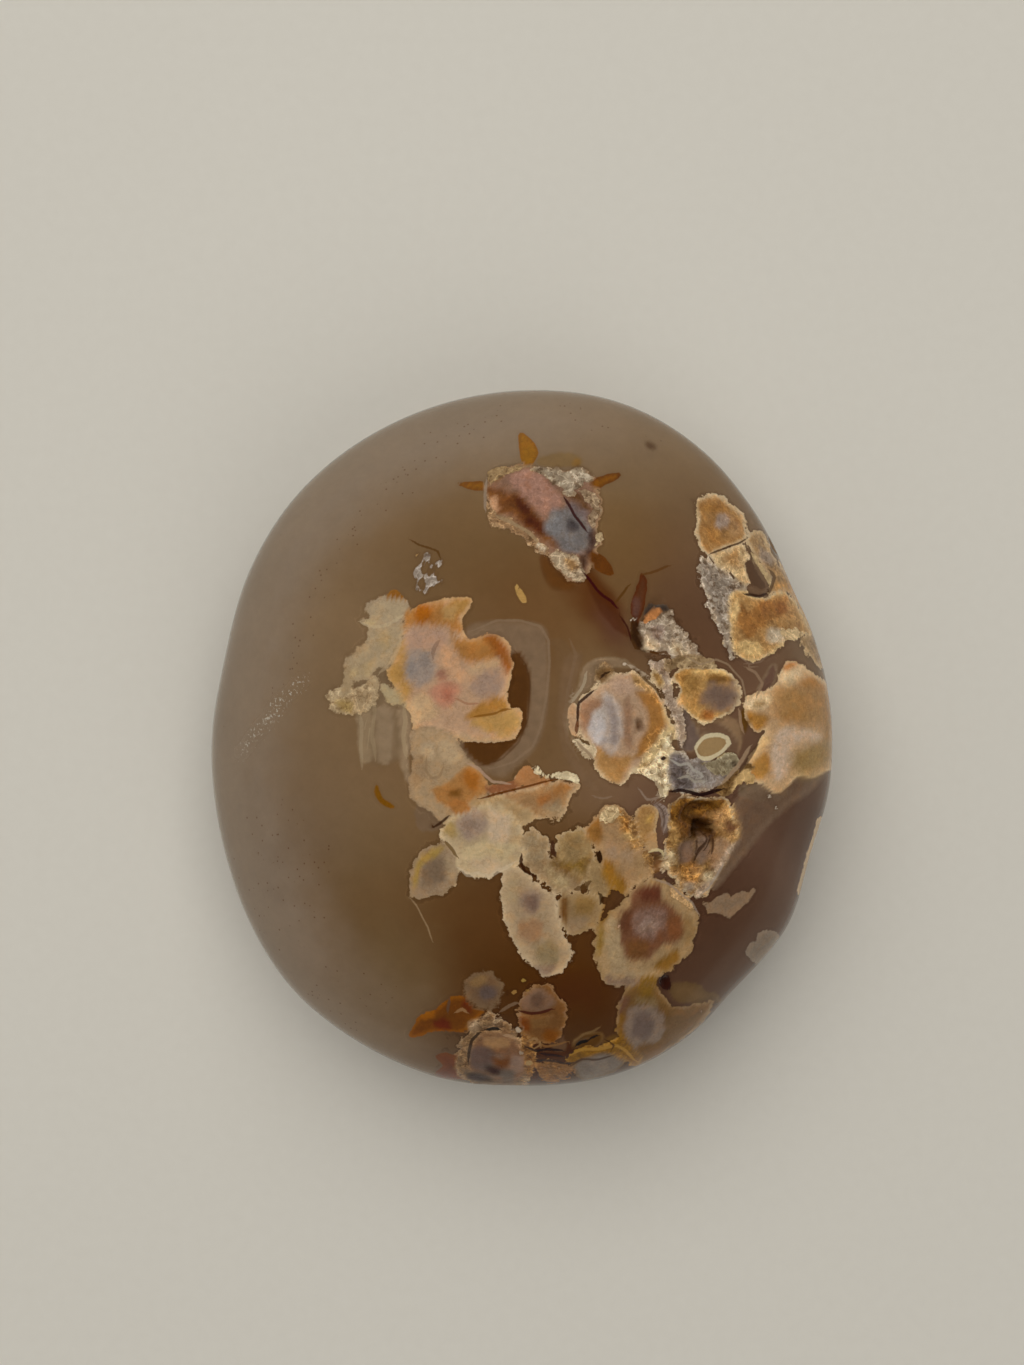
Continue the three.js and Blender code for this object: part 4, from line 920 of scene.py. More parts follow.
plume(plumes, [-9.7, 11, -7.9, 11.9, -6, 12.2, -4.4, 12.2, -4.4, 11.4, -5.2, 10.5, -5, 9.3,
    -4.3, 8.4, -3.4, 9, -2, 9, -1, 8.1, -0.8, 6.5, -0.9, 5, -1.2, 3.6, -0.9, 2.6, -0.1, 2.6,
    0, 1.3, -0.4, 0.3, -1.5, -0.2, -2.8, -0.1, -3.9, -0.2, -5.1, 0, -6.3, 0.4, -7.7, 0.7,
    -9.1, 0.7, -9.6, 2.3, -10.5, 3.9, -11.5, 5.5, -11.2, 6.7, -10.5, 8.4, -10.1, 9.9],
    (176, 142, 112), (176, 140, 98), 0.4, ragged=0.08, torn=0.4, crisp=0.9, pale=0.2)
shades(plumes, [
    ([-9.7, 11, -7.9, 11.8, -5.1, 12.1, -4.8, 11.6, -5.4, 10.5, -5, 9.3, -6.3, 9.7, -8.1, 10,
     -9.5, 9.7, -10.3, 8.6, -10.2, 9.8], (160, 108, 52)),
    ([-8.9, 11.4, -7.9, 11.7, -7.7, 11, -8.1, 10.2, -8.8, 10.3], (158, 90, 22)),
    ([-6, 11.9, -4.6, 12, -5, 11, -6, 11], (160, 120, 64)),
    ([-7, 11.6, -6, 11.6, -5.9, 10.5, -6.9, 10.5], (166, 130, 80)),
    ([-10, 9.3, -8.4, 9.7, -6.5, 9.3, -6.7, 7.9, -8.4, 7.7, -9.8, 7.9], (170, 138, 116)),
    ([-10.3, 6.9, -9.3, 7.6, -7.9, 7.5, -7.2, 6.3, -7.7, 5.1, -9, 4.5, -10.2, 5.1],
     (150, 134, 122)),
    ([-10.2, 6.5, -9.3, 6.9, -9.1, 5.5, -10.1, 5.3], (140, 128, 120)),
    ([-8.8, 7.4, -7.9, 7.4, -7.9, 6.3, -8.7, 6.2], (138, 124, 114)),
    ([-7.2, 5.6, -6.4, 6, -6.5, 5, -7.1, 4.8], (146, 102, 82)),
    ([-7.9, 4.3, -6.3, 5, -5.3, 4.3, -6, 3.2, -7, 3, -7.8, 3.5], (178, 124, 98)),
    ([-6.8, 4.3, -6.1, 4.2, -6.2, 3.4, -6.7, 3.4], (168, 104, 80)),
    ([-7, 7.7, -6, 7.8, -5.5, 6.5, -4.4, 5.3, -5.7, 5, -6.6, 6.3], (192, 150, 114)),
    ([-6.2, 9.8, -5.1, 8.4, -3.4, 9, -2, 8.8, -1.7, 7.7, -2.5, 6.9, -3.9, 6.5, -5.1, 7.2,
     -6, 8.6], (158, 108, 52)),
    ([-3.2, 8.9, -2, 8.9, -1, 8.1, -0.8, 6.7, -1.1, 5.7, -1.8, 6.5, -2.3, 7.7], (138, 80, 30)),
    ([-4.6, 6, -3.2, 6.8, -2, 6.9, -2.2, 6.2, -3.7, 5.5], (186, 154, 118)),
    ([-4.4, 5, -2.7, 6, -1.3, 5.3, -1.7, 4, -3, 3.7, -4.3, 4.1], (156, 130, 112)),
    ([-4.4, 2.3, -2.9, 3.4, -1.8, 3.4, -1.1, 2.5, -2.7, 1.8, -4.3, 1.7], (166, 116, 50)),
    ([-4.3, 1.4, -2.7, 1.8, -0.8, 2.5, -0.1, 1.8, -0.4, 0.7, -1.7, 0.2, -3.2, 0.7],
     (178, 138, 78)),
    ([-5.1, 0.5, -3.2, 0.2, -1.6, -0.2, -2.7, -0.3, -4.4, 0], (160, 134, 104)),
    ([-11.5, 5.8, -10.6, 7.6, -10.2, 8.6, -10.1, 7.2, -10.3, 5.5, -9.7, 4, -10.2, 3.5,
     -11, 4.6], (164, 124, 66)),
    ([-9.5, 3.4, -8.1, 3.8, -7.3, 2.7, -7.6, 1.7, -9, 1, -9.4, 2], (188, 156, 118)),
], soft=0.3, ragged=0.35)
threads.draw([-7.6, 7, -7.7, 7.7, -7.4, 8.2, -7.2, 8.5], 0.4, (118, 90, 72), 0.5, 0, 0.2)
threads.draw([-4.1, 1.9, -3.2, 2, -2.3, 2.1, -1.7, 2.4, -1, 2.6], 0.24, (128, 82, 30), 0.85)
threads.draw([-5.7, 3.5, -4.8, 3, -3.6, 3.1], 0.2, (150, 100, 70), 0.6)

# The wedge below it: pale petals at the left, an orange middle, and a right lobe with a
# white crest of quartz, all split by one fine crack.

plume(plumes, [-9.6, 0.3, -8.8, 1, -7.4, 1, -6, 0.4, -5.1, -1, -4.3, -2.2, -3.4, -3.1, -3, -4.4,
    -3.2, -5.8, -5.1, -6.9, -6.7, -7.4, -8.1, -6.3, -9.3, -5.5, -9.7, -4.3, -9.4, -2.2],
    (162, 136, 104), (148, 124, 96), 0.5, ragged=0.12, torn=0.5, crisp=0.5)
plume(plumes, [-7.7, -4.3, -6.3, -3.7, -5.3, -2.8, -4.5, -2.3, -3.7, -2.7, -3, -3.6, -2.8, -4.6,
    -4.1, -5.2, -5.5, -6, -6.5, -5.8, -7.4, -5.2],
    (164, 116, 66), (168, 128, 84), 0.25, ragged=0.1, torn=0.4, crisp=0.5)
shades(plumes, [
    ([-4.8, -2.9, -3.7, -3, -3.6, -4.2, -4.6, -4.1], (160, 98, 38)),
    ([-8.8, -0.5, -7.7, -0.3, -7.7, -1.7, -8.7, -1.8], (178, 154, 122)),
    ([-6.2, -4.3, -5.2, -4.3, -5.3, -5, -6.2, -5], (118, 78, 34)),
    ([-9.5, -1.8, -8.4, -1.5, -8.4, -3.6, -9.3, -3.9], (148, 122, 92)),
    ([-7.4, -0.1, -6.2, -0.3, -5.3, -1.7, -6.2, -2.3, -7, -1.7], (178, 152, 118)),
])
plume(plumes, [-6.3, -5.3, -4.8, -5.4, -4.3, -6.2, -4.9, -6.8, -6, -6.4],
    (158, 108, 60), ragged=0.08)
plume(plumes, [-3.2, -4.1, -1.8, -4, -0.5, -3.6, -0.4, -4.1, -1.8, -4.5, -2.9, -4.7],
    (128, 84, 56), ragged=0.06, torn=0.3)
plume(plumes, [-0.4, -3.9, -0.1, -2.7, 0.7, -2.3, 1.3, -3.1, 2.3, -3.4, 2.3, -3.7, 0.8, -4.2],
    (156, 110, 70), ragged=0.06)
plume(plumes, [-1.3, -4.7, 0.8, -4.3, 3, -3.7, 4.4, -3.8, 5, -4.2, 4.2, -5, 3.9, -6.3, 3, -6.9,
    1.1, -6.8, -0.4, -6.2, -1.3, -5.4],
    (150, 115, 78), (168, 138, 102), 0.35, crusty=0.15, ragged=0.1, torn=0.7, pale=0.35)
shades(plumes, [
    ([1.7, -4.9, 2.5, -4.8, 2.7, -5.7, 1.7, -5.7], (150, 100, 56)),
    ([2.8, -4.1, 4.3, -3.9, 3.9, -4.8, 3, -4.9], (152, 104, 58)),
    ([2.1, -5.8, 3.4, -5.7, 3.6, -6.5, 2.3, -6.5], (150, 128, 98)),
])
plume(crusts, [0.9, -2.5, 1.4, -2.3, 2.2, -3, 3.4, -2.9, 4.6, -3, 5.1, -3.6, 4.9, -3.9,
    3.6, -3.5, 2.3, -3.4, 1.3, -3],
    (212, 194, 158), (200, 180, 142), 0.15, crusty=0.3, ragged=0.06, torn=0.4)
cracks.draw([-3.6, -5.2, -1.8, -4.7, -0.1, -4.3, 2.1, -3.7, 3.1, -3.5], 0.2, (96, 52, 24), 0.9,
    0.03, 0.05)
threads.draw([-4.6, -2.2, -3.7, -2.6, -2.5, -3.7, -1, -3.9], 0.24, (170, 140, 115), 0.8)
cracks.draw([-7.6, -7.7, -7, -7.3, -6.3, -6.7], 0.24, (60, 38, 26), 0.9, 0.05, 0.05)
threads.draw([-8.3, -1.6, -8.3, -2.7, -7.8, -3.4, -7.1, -3.3, -6.8, -2.5], 0.22, (140, 114, 84),
    0.7)

# The big cream flower low at the left, the petal beside it, and the long slipper below:
# three cloudy plumes with grey-lilac hearts and frilled edges.

plume(veils, [-9, -5.6, -7, -5.8, -6.5, -7.2, -7.7, -8.1, -9.1, -7.7],
    (116, 96, 78), dense=0.5, ragged=0.2)
plume(plumes, [-9.5, -11.4, -8.4, -9.7, -6.7, -9, -5.5, -10.3, -5.4, -11.6, -6.2, -13,
    -7.7, -13.7, -9.5, -13.7],
    (140, 118, 94), (132, 110, 84), 0.4, ragged=0.08, pale=0.15)
shades(plumes, [
    ([-9.4, -12.8, -9.1, -11, -7.9, -9.7, -6.5, -9.3, -7.2, -10.2, -8.4, -11, -9, -12.4],
     (150, 122, 64)),
    ([-8.4, -11.2, -7.6, -10.6, -6.7, -11, -6.7, -12.1, -7.6, -12.6, -8.4, -12.3],
     (120, 100, 80)),
    ([-6.5, -10.2, -5.7, -10.7, -5.8, -11.9, -6.5, -12.3], (152, 130, 102)),
])
plume(plumes, [-4.4, -5.3, -2.7, -5, -1.1, -5.1, 0.3, -5.9, 1.3, -6.7, 0.4, -7.4, -0.8, -7,
    -2.2, -6.3, -3.7, -6],
    (156, 130, 94), (166, 140, 104), 0.3, ragged=0.12, torn=0.5)
plume(plumes, [-7, -8.1, -6, -6.7, -4.6, -6.3, -3.2, -5.6, -1.8, -5.8, -0.5, -6.8, 0.3, -8.4,
    0.3, -9.8, -0.2, -10.9, -1.1, -11.3, -1.5, -11.7, -2.2, -11.6, -2.7, -12.2, -3.6, -11.9,
    -4.3, -12, -5, -11.5, -5.5, -11.4, -5.7, -10.3, -6.5, -9.1],
    (168, 146, 114), (184, 162, 128), 0.4, ragged=0.1, crisp=0.8, pale=0.25)
shades(plumes, [
    ([-2.9, -6.3, -1.7, -6.5, -1, -7.7, -1.3, -9, -2.9, -8.6], (190, 166, 138)),
    ([-4.8, -9.3, -2.5, -9, -0.4, -9.3, -0.8, -10.5, -1.8, -11.2, -3.4, -11.6, -4.8, -10.7],
     (188, 166, 128)),
    ([-5.7, -7.4, -5, -6.3, -3.6, -6.3, -3.1, -7.2, -3.4, -8.3, -4.4, -8.9, -5.4, -8.3],
     (154, 132, 114)),
    ([-5.1, -7, -4.3, -6.8, -3.9, -7.6, -4.4, -8.2, -5, -7.9], (138, 117, 101)),
    ([-6.8, -7.7, -6, -7.4, -5.8, -8.4, -6.5, -8.6], (156, 130, 82)),
    ([-4.4, -10.5, -1.5, -10.5, -1.5, -11.6, -3.7, -11.6], (180, 156, 126)),
], soft=0.3, ragged=0.4)
threads.draw([-5.4, -11.2, -4.6, -11.7, -3.7, -11.7, -2.9, -12, -2, -11.5, -1.1, -11.2,
    -0.3, -10.8], 0.36, (200, 182, 154), 0.45, 0, 0.3)
cracks.draw([-6.5, -9, -6, -9.6, -5.6, -10.2], 0.3, (106, 80, 46), 0.85, 0, 0.04)
plume(plumes, [-1.6, -11.8, -0.3, -11.3, 1, -12.3, 2.4, -13.4, 3.1, -14, 3.2, -15.3, 3.7, -16.6,
    3.7, -17.2, 4.5, -18.4, 3.8, -19.9, 2.7, -20.5, 1.7, -20.4, 0.3, -19, -0.8, -17.6,
    -1.5, -15.3],
    (160, 136, 106), (172, 150, 120), 0.35, ragged=0.1, pale=0.35)
shades(plumes, [
    ([-0.3, -13.5, 0.8, -13, 1.8, -13.7, 1.8, -14.9, 0.8, -15.4, -0.1, -14.9], (140, 117, 98)),
    ([0.3, -13.8, 1.1, -13.7, 1.5, -14.3, 1, -14.9, 0.3, -14.6], (116, 92, 78)),
    ([-0.3, -15.9, 1.3, -15.6, 2.2, -16.6, 1.3, -17.6, 0.1, -17.1], (152, 116, 84)),
    ([1.3, -17.8, 3, -17.8, 3.2, -19.2, 1.8, -19.4], (140, 120, 88)),
    ([1.3, -19.7, 3, -19.7, 2.7, -20.4, 1.8, -20.5], (130, 108, 90)),
    ([-1.3, -12.3, -0.4, -11.9, -0.3, -14, -1.1, -14.5], (160, 138, 106)),
], soft=0.3, ragged=0.4)
plume(plumes, [0.2, -8.3, 1, -8, 1.7, -8.4, 2.5, -9, 2.3, -9.8, 3, -10.7, 3.9, -11.4, 5, -11.9,
    5.4, -12.6, 4.7, -13.3, 3.6, -13.6, 2.7, -13.1, 1.7, -12.3, 0.8, -11.6, 0.3, -11,
    0.5, -10.2, 0.1, -9.3],
    (136, 112, 82), (154, 130, 98), 0.3, crusty=0.2, ragged=0.12, torn=0.9, pale=0.4)
plume(plumes, [3.1, -10.3, 3, -9.3, 3.4, -8.4, 4.1, -8, 5, -7.8, 5.8, -8.2, 6.2, -8.8,
    6.3, -9.8, 6.2, -10.7, 6.3, -11.6, 5.8, -12.3, 5, -12.3, 4.1, -11.7, 3.4, -11.2],
    (140, 115, 78), (156, 131, 94), 0.3, crusty=0.2, ragged=0.12, torn=0.9, pale=0.4)
shades(plumes, [
    ([0.4, -8.6, 1.8, -8.8, 2.2, -9.8, 1.7, -10.7, 0.6, -10.3], (140, 120, 92)),
    ([2.8, -10.2, 4.3, -10.7, 6, -10.3, 5.7, -11.4, 4.3, -11.4, 3, -10.9], (126, 96, 44), 0.3),
    ([2, -11, 3.4, -11.7, 4.4, -12.4, 3.9, -13.1, 2.7, -12.6], (158, 136, 100), 0.3),
    ([2.6, -9, 3.1, -9.7, 3.6, -10.7, 4.5, -11.5, 5.5, -12.3, 5, -12.4, 3.9, -11.7, 3, -11,
     2.5, -10], (106, 80, 48)),
    ([5.5, -10.7, 6.2, -10.2, 6.5, -11.2, 5.8, -12.1], (112, 86, 50)),
])
plume(plumes, [6, -10.7, 6.7, -10.3, 7.2, -11, 7.8, -11.7, 8, -12.8, 7.4, -13.7, 6.5, -13.7,
    5.8, -13, 5.7, -11.9],
    (136, 111, 76), (152, 127, 92), 0.3, crusty=0.2, ragged=0.1, torn=0.8, pale=0.2)
cracks.draw([2.8, -9, 2.7, -9.6, 3, -10.1], 0.45, (70, 44, 30), 0.9, 0.06, 0.04)
cracks.draw([0.1, -10.1, 0, -10.7, 0.3, -11.5, 1.3, -12], 0.28, (58, 34, 19), 0.92, 0.08, 0.04)
cracks.draw([4.8, -13.1, 5.5, -12.9, 6, -12.4], 0.5, (86, 60, 33), 0.8, 0, 0.04)
plume(plumes, [3.3, -13.9, 4.6, -13.5, 6.2, -13.7, 7, -14.1, 6.9, -15.6, 6, -16.6, 4.4, -17.1,
    3.6, -16.1],
    (136, 110, 76), (146, 120, 84), 0.3, ragged=0.1, pale=0.15)
shades(plumes, [
    ([3.3, -14, 4.1, -14, 4, -15.9, 3.5, -15.6], (100, 66, 34)),
    ([4.3, -15.7, 5.8, -15.4, 5.7, -16.4, 4.4, -16.8], (140, 116, 88)),
    ([4.6, -13.8, 6.2, -13.9, 6.3, -15, 5, -15.2], (130, 100, 58)),
])

# The orange lobe in the middle of the lower half: an iron-stained plume with a white
# crust of quartz on top and clear amber below.

plume(plumes, [5.6, -7.8, 6.7, -6.7, 7.1, -6, 8, -5.7, 9.1, -6.3, 9.9, -7.3, 10.3, -9,
    11.2, -10.5, 11.3, -11.7, 10.3, -12.5, 8.7, -13.4, 7.6, -12.3, 7, -11, 6.6, -9.8,
    5.7, -8.6],
    (156, 124, 88), (164, 132, 94), 0.35, crusty=0.1, ragged=0.08, pale=0.25)
shades(plumes, [
    ([5.7, -7.6, 6.7, -7, 6.9, -9.2, 5.9, -9], (136, 94, 46)),
    ([8.3, -6.3, 9.1, -6.5, 9.8, -7.2, 10.2, -8.3, 10.3, -9.5, 9.8, -9.7, 9.3, -8.6, 8.6, -7.9],
     (156, 112, 58), 1),
    ([8.9, -8.2, 9.9, -8.2, 10, -8.6, 9, -8.6], (170, 138, 90)),
    ([7.4, -9.2, 8.4, -9.3, 8.4, -10.3, 7.5, -10.3], (158, 130, 102)),
    ([8.6, -9.7, 9.7, -9.8, 9.7, -10.7, 8.7, -10.6], (158, 130, 100)),
    ([7.2, -10.5, 8, -11, 8.5, -11.9, 9, -12.8, 8.5, -13.5, 7.8, -12.8, 7.2, -11.9],
     (132, 92, 32)),
    ([10, -10.2, 11, -10.3, 11, -11.7, 10.2, -11.9], (150, 120, 84)),
], soft=0.26)
plume(crusts, [6.7, -7, 7.1, -6.1, 7.9, -5.7, 8.6, -6.2, 8.3, -7, 7.4, -7.4],
    (190, 164, 122), crusty=0.7, ragged=0.08, torn=0.7)
plume(crusts, [8.8, -6.3, 9.8, -7, 10.3, -8.4, 11, -9.7, 11.7, -10.7, 11.4, -11.6, 10.8, -10.7,
    10.2, -9.5, 9.5, -8.1],
    (150, 110, 62), (166, 130, 86), 0.2, crusty=0.9, ragged=0.14, torn=0.9)
plume(crusts, [6.5, -9.8, 7, -9.7, 7.1, -10.6, 6.7, -10.7], (52, 34, 20), ragged=0.04, torn=0.2)
plume(plumes, [11, -8.1, 11.7, -8.2, 11.7, -9.6, 11, -9.7],
    (158, 126, 88), ragged=0.05, torn=0.3)

# The eye, low in the middle: a round plume cut across, with a ring of cream and olive
# round a heart of dark rust.

plume(plumes, [6.6, -16.2, 6.4, -17.9, 6.7, -19.7, 7.3, -21.2, 9, -21.4, 11, -21, 12.8, -20.3,
    14.2, -19, 14.9, -18.3, 15.2, -16.3, 15.4, -15.1, 14.2, -13.7, 12.8, -12.6, 11.4, -12.2,
    10.2, -12.8, 8.8, -14.2, 7.4, -15.6],
    (154, 126, 90), (134, 106, 70), 0.35, crusty=0.1, ragged=0.1, pale=0.2)
shades(plumes, [
    ([6.7, -16.3, 7.3, -16.6, 7.2, -18.2, 6.7, -18.9], (126, 98, 46)),
    ([7.4, -16.2, 8.4, -15.9, 8.6, -18.3, 9.3, -19.7, 8.3, -20.8, 7.5, -19], (162, 138, 104)),
    ([7.7, -19.7, 10, -19.9, 10.7, -20.6, 8.1, -20.8], (156, 132, 100)),
    ([7.4, -20.6, 10.3, -20.8, 10.3, -21.4, 7.9, -21.4], (116, 95, 79)),
    ([11.4, -19.9, 12.6, -18.9, 13.8, -18.4, 13.6, -19.5, 12.4, -20.3], (124, 88, 36)),
    ([14.2, -15.7, 15, -15.7, 14.9, -17.8, 14.1, -17.8], (134, 106, 70)),
    ([8.6, -15.7, 9.5, -14.7, 9.8, -13.4, 11.2, -12.6, 12.1, -12.7, 12.3, -13.9, 13.5, -15,
     14.1, -16.3, 13.6, -17.7, 12.3, -18, 10.9, -19.2, 9.3, -19.2, 8.6, -17.8], (110, 71, 50)),
    ([10.3, -13, 11.7, -12.8, 12.1, -13.7, 10.7, -14], (96, 54, 38)),
    ([8.6, -15.2, 9.5, -15, 9.5, -16.6, 8.7, -16.8], (94, 60, 42)),
    ([9.5, -15.9, 10.3, -15, 11.6, -14.7, 12.6, -15.1, 13, -16.3, 11.9, -16.8, 11.2, -17.5,
     10, -17.1], (126, 98, 84), 0.35),
    ([10.3, -16.3, 11.4, -15.7, 12.1, -16.1, 11.2, -16.8, 10.5, -17], (138, 114, 100), 0.3),
    ([9, -18, 9.8, -18.3, 10.7, -19, 9.7, -19.1], (116, 78, 46)),
    ([12.8, -15.4, 14, -15.6, 13.9, -17.1, 12.9, -17.3], (118, 76, 48)),
    ([9.3, -17.7, 10.9, -17.7, 10.7, -19, 9.5, -19], (108, 72, 42)),
    ([7.7, -13.3, 8.6, -12.6, 9.3, -13.1, 8.3, -14.3, 7.6, -15.4, 7, -16.1, 7, -14.9],
     (128, 90, 36)),
], soft=0.26, ragged=0.3)
plume(crusts, [12.8, -12.8, 13.8, -13.1, 15, -14.3, 15.5, -15.4, 15, -15, 13.8, -14.2,
    13, -13.7],
    (180, 144, 100), crusty=0.7, ragged=0.06, torn=0.5)
threads.draw([11.7, -12.2, 12.8, -12.6, 13.8, -13.4, 14.9, -14.2, 15.5, -15.2], 0.2,
    (156, 134, 114), 0.7)
cracks.draw([6.9, -13.5, 7.1, -13.9, 6.9, -14.3], 0.4, (58, 38, 20), 0.85, 0.04, 0.04)
plume(plumes, [10.4, -20.8, 11.7, -20.6, 11.6, -21.4, 10.5, -21.5],
    (120, 88, 38), ragged=0.04, torn=0.2)
plume(crusts, [11.8, -21, 12.9, -20.5, 13, -21.8, 12.3, -21.7],
    (52, 30, 16), ragged=0.04, torn=0.2)

# The bottom left: leaves of amber stain, a round flower split by a crack, and a crusted
# one that runs on over the edge.

LEAF = (102, 60, 10)
plume(plumes, [-9.7, -25.7, -8.8, -24.3, -7, -23.3, -6.3, -22.6, -5.1, -22.5, -4.3, -23.3,
    -3.2, -23.6, -4.3, -24.5, -5.1, -25.4, -7.4, -25.3, -9, -25.8],
    LEAF, (124, 74, 16), 0.3, ragged=0.08, torn=0.3, crisp=0.7)
shades(plumes, [
    ([-8.4, -23.6, -7.4, -23.6, -7.6, -24.4, -8.4, -24.5], (140, 84, 14)),
    ([-7.6, -24.5, -6.3, -24.4, -6.3, -25.2, -7.4, -25.2], (92, 40, 7)),
    ([-5, -22.7, -4.1, -23.2, -4.4, -23.8, -5, -23.4], (92, 42, 7)),
], soft=0.26)
threads.draw([-6.2, -22.7, -6.3, -23.7], 0.26, (92, 70, 54), 0.8)
threads.draw([-5.6, -23.8, -5.1, -23.5, -4.7, -23.8], 0.26, (150, 114, 76), 0.8)
plume(plumes, [-7.4, -27.6, -6.3, -27.4, -5.5, -28, -5.3, -29, -5.1, -29.5, -6.9, -29.4,
    -7.3, -29, -6.7, -28.4],
    (92, 49, 9), (96, 53, 13), 0.3, ragged=0.05, torn=0.15)
plume(plumes, [-5.7, -28.1, -5, -26, -3.9, -24.4, -2.9, -24, -1.5, -24.3, -0.5, -25.5,
    0.6, -27.7, 0.6, -29.5, -0.6, -31.1, -2.7, -31.3, -4.4, -30, -5.5, -29.1],
    (112, 86, 59), (128, 101, 72), 0.3, crusty=1, ragged=0.12, torn=0.9, pale=0.3)
shades(plumes, [
    ([-4.5, -28.1, -4.1, -26.2, -3.2, -25.4, -1.7, -25.2, -0.5, -26, 0.4, -27.5, 0.3, -28.4,
     -0.4, -26.7, -1.7, -25.9, -3, -26, -3.9, -27, -4.2, -28.4], (160, 125, 88), 0.7),
    ([-4.3, -27.9, -4.1, -26.5, -3.2, -25.7, -1.8, -25.6, -0.8, -26, 0.2, -27.4, 0.2, -29.1,
     -1, -30, -2.9, -29.5, -4.3, -29], (116, 82, 58), 0.15),
    ([-3.2, -26, -1.3, -26, -1.1, -26.7, -3, -26.9], (156, 118, 79), 0.1),
    ([-4.3, -27, -2.7, -26.9, -2.3, -28.1, -3, -28.9, -4.3, -28.6], (96, 75, 67), 0),
    ([-1, -27.6, 0.1, -27.7, 0.1, -28.8, -0.8, -29], (132, 106, 90), 0),
    ([-2.5, -27.6, -1.8, -27.9, -1, -27.6, -1.1, -28.4, -1.8, -29, -2.3, -28.6], (104, 59, 22),
     0),
    ([-3, -28.4, -1.7, -28.8, -1.8, -29.3, -3, -29.1], (48, 25, 13), 0),
    ([-1.7, -28.9, -0.6, -29, -0.7, -29.9, -1.6, -29.9], (92, 78, 68), 0),
    ([-4.8, -29, -3, -29.3, -2.5, -29.8, -4.3, -29.8], (44, 27, 18), 0),
    ([-4.5, -24.6, -3.7, -24.6, -3.7, -25.4, -4.4, -25.4], (150, 125, 97)),
    ([-2.3, -24.3, -1.6, -24.3, -1.7, -25, -2.3, -24.9], (150, 125, 97)),
], soft=0.26, ragged=0.1)
cracks.draw([-3.6, -25.6, -4.3, -26.3, -4.5, -27.2, -4.6, -28.1], 0.28, (52, 36, 24), 0.9, 0.08,
    0.05)
cracks.draw([-3, -25.4, -2.5, -25.3, -1.9, -25.3], 0.28, (26, 15, 9), 0.95, 0.08, 0.02)
threads.draw([-1.4, -25.8, -1, -25.8, -0.6, -26], 0.26, (165, 133, 101), 0.85)
plume(plumes, [-0.2, -23, 1, -21.7, 2.3, -21.3, 3.4, -22.5, 3.9, -23.6, 3.7, -25.1, 2.8, -26.3,
    1.3, -26.3, 0.1, -25.3],
    (106, 72, 41), (124, 87, 50), 0.35, ragged=0.12, torn=0.7, pale=0.2)
shades(plumes, [
    ([-0.1, -22.7, 1.1, -21.8, 2.5, -22, 3, -23, 1.7, -23.6, 0.3, -23.6], (120, 93, 74)),
    ([0.8, -22.3, 1.8, -22.3, 2, -23.1, 1, -23.2], (98, 74, 59)),
    ([-0.2, -23.9, 1, -24.1, 2.3, -24, 2.7, -24.4, 1.1, -24.6, -0.1, -24.4], (142, 104, 68)),
    ([0.8, -24.1, 2.3, -24.1, 2.5, -25.1, 1.1, -25.3], (118, 84, 49)),
    ([-0.1, -24.4, 0.6, -24.4, 0.8, -25.4, 0.1, -25.2], (104, 55, 22)),
    ([2.1, -25.5, 3.1, -25.7, 2.7, -26.3, 2, -26.3], (112, 65, 23)),
], soft=0.26)
cracks.draw([-0.1, -23.7, 0.9, -23.9, 1.8, -23.8, 2.7, -23.5], 0.26, (68, 31, 19), 0.9, 0.05,
    0.04)
threads.draw([-1.7, -23.7, -1, -23.2, -0.3, -22.9], 0.3, (120, 95, 72), 0.85)
plume(veils, [0.3, -26.2, 3.8, -26.2, 4.6, -27.2, 4.4, -29.3, 2.5, -29.8, 0.8, -29.8,
    0.4, -27.6],
    (74, 42, 18), dense=0.9, ragged=0.15, torn=0.4)
plume(plumes, [0.1, -25.7, 0.8, -26.2, 1.2, -27.4, 1.1, -28.8, 0.5, -29.5, 0.3, -28.3,
    0.1, -27],
    (118, 82, 45), (136, 99, 58), 0.2, crusty=0.9, ragged=0.12, torn=0.8)
plume(plumes, [1.5, -28.3, 2.7, -28.1, 4.3, -28.6, 3.9, -29.5, 2.3, -29.8, 1.5, -29.3],
    (112, 78, 45), (126, 89, 52), 0.2, crusty=0.6, ragged=0.12, torn=0.8)
cracks.draw([0.4, -26.8, 1.3, -27.2, 2.3, -27, 3.6, -27.1], 0.22, (36, 19, 11))
cracks.draw([1.3, -27.9, 2.5, -28, 3.6, -28.3, 4.6, -28.2], 0.2, (40, 21, 11), 0.85)
threads.draw([1.4, -26.5, 2.1, -26.8, 3, -26.6, 3.9, -26.3], 0.2, (132, 93, 54), 0.8)
threads.draw([0.6, -26.3, 1.3, -26, 1.7, -26.6, 1.1, -27], 0.18, (150, 116, 76), 0.8)
plume(veils, [2.5, -25.8, 3.7, -25.8, 3.9, -27, 2.7, -27],
    (102, 75, 54), dense=0.85, ragged=0.12, torn=0.4)
threads.draw([1.7, -27.4, 2.7, -27.5, 3.6, -27.7], 0.24, (44, 23, 13))

# The lilac flower at the bottom right and the lens beside it, with a frilled band of
# amber between them where iron gathered at the edge of both.

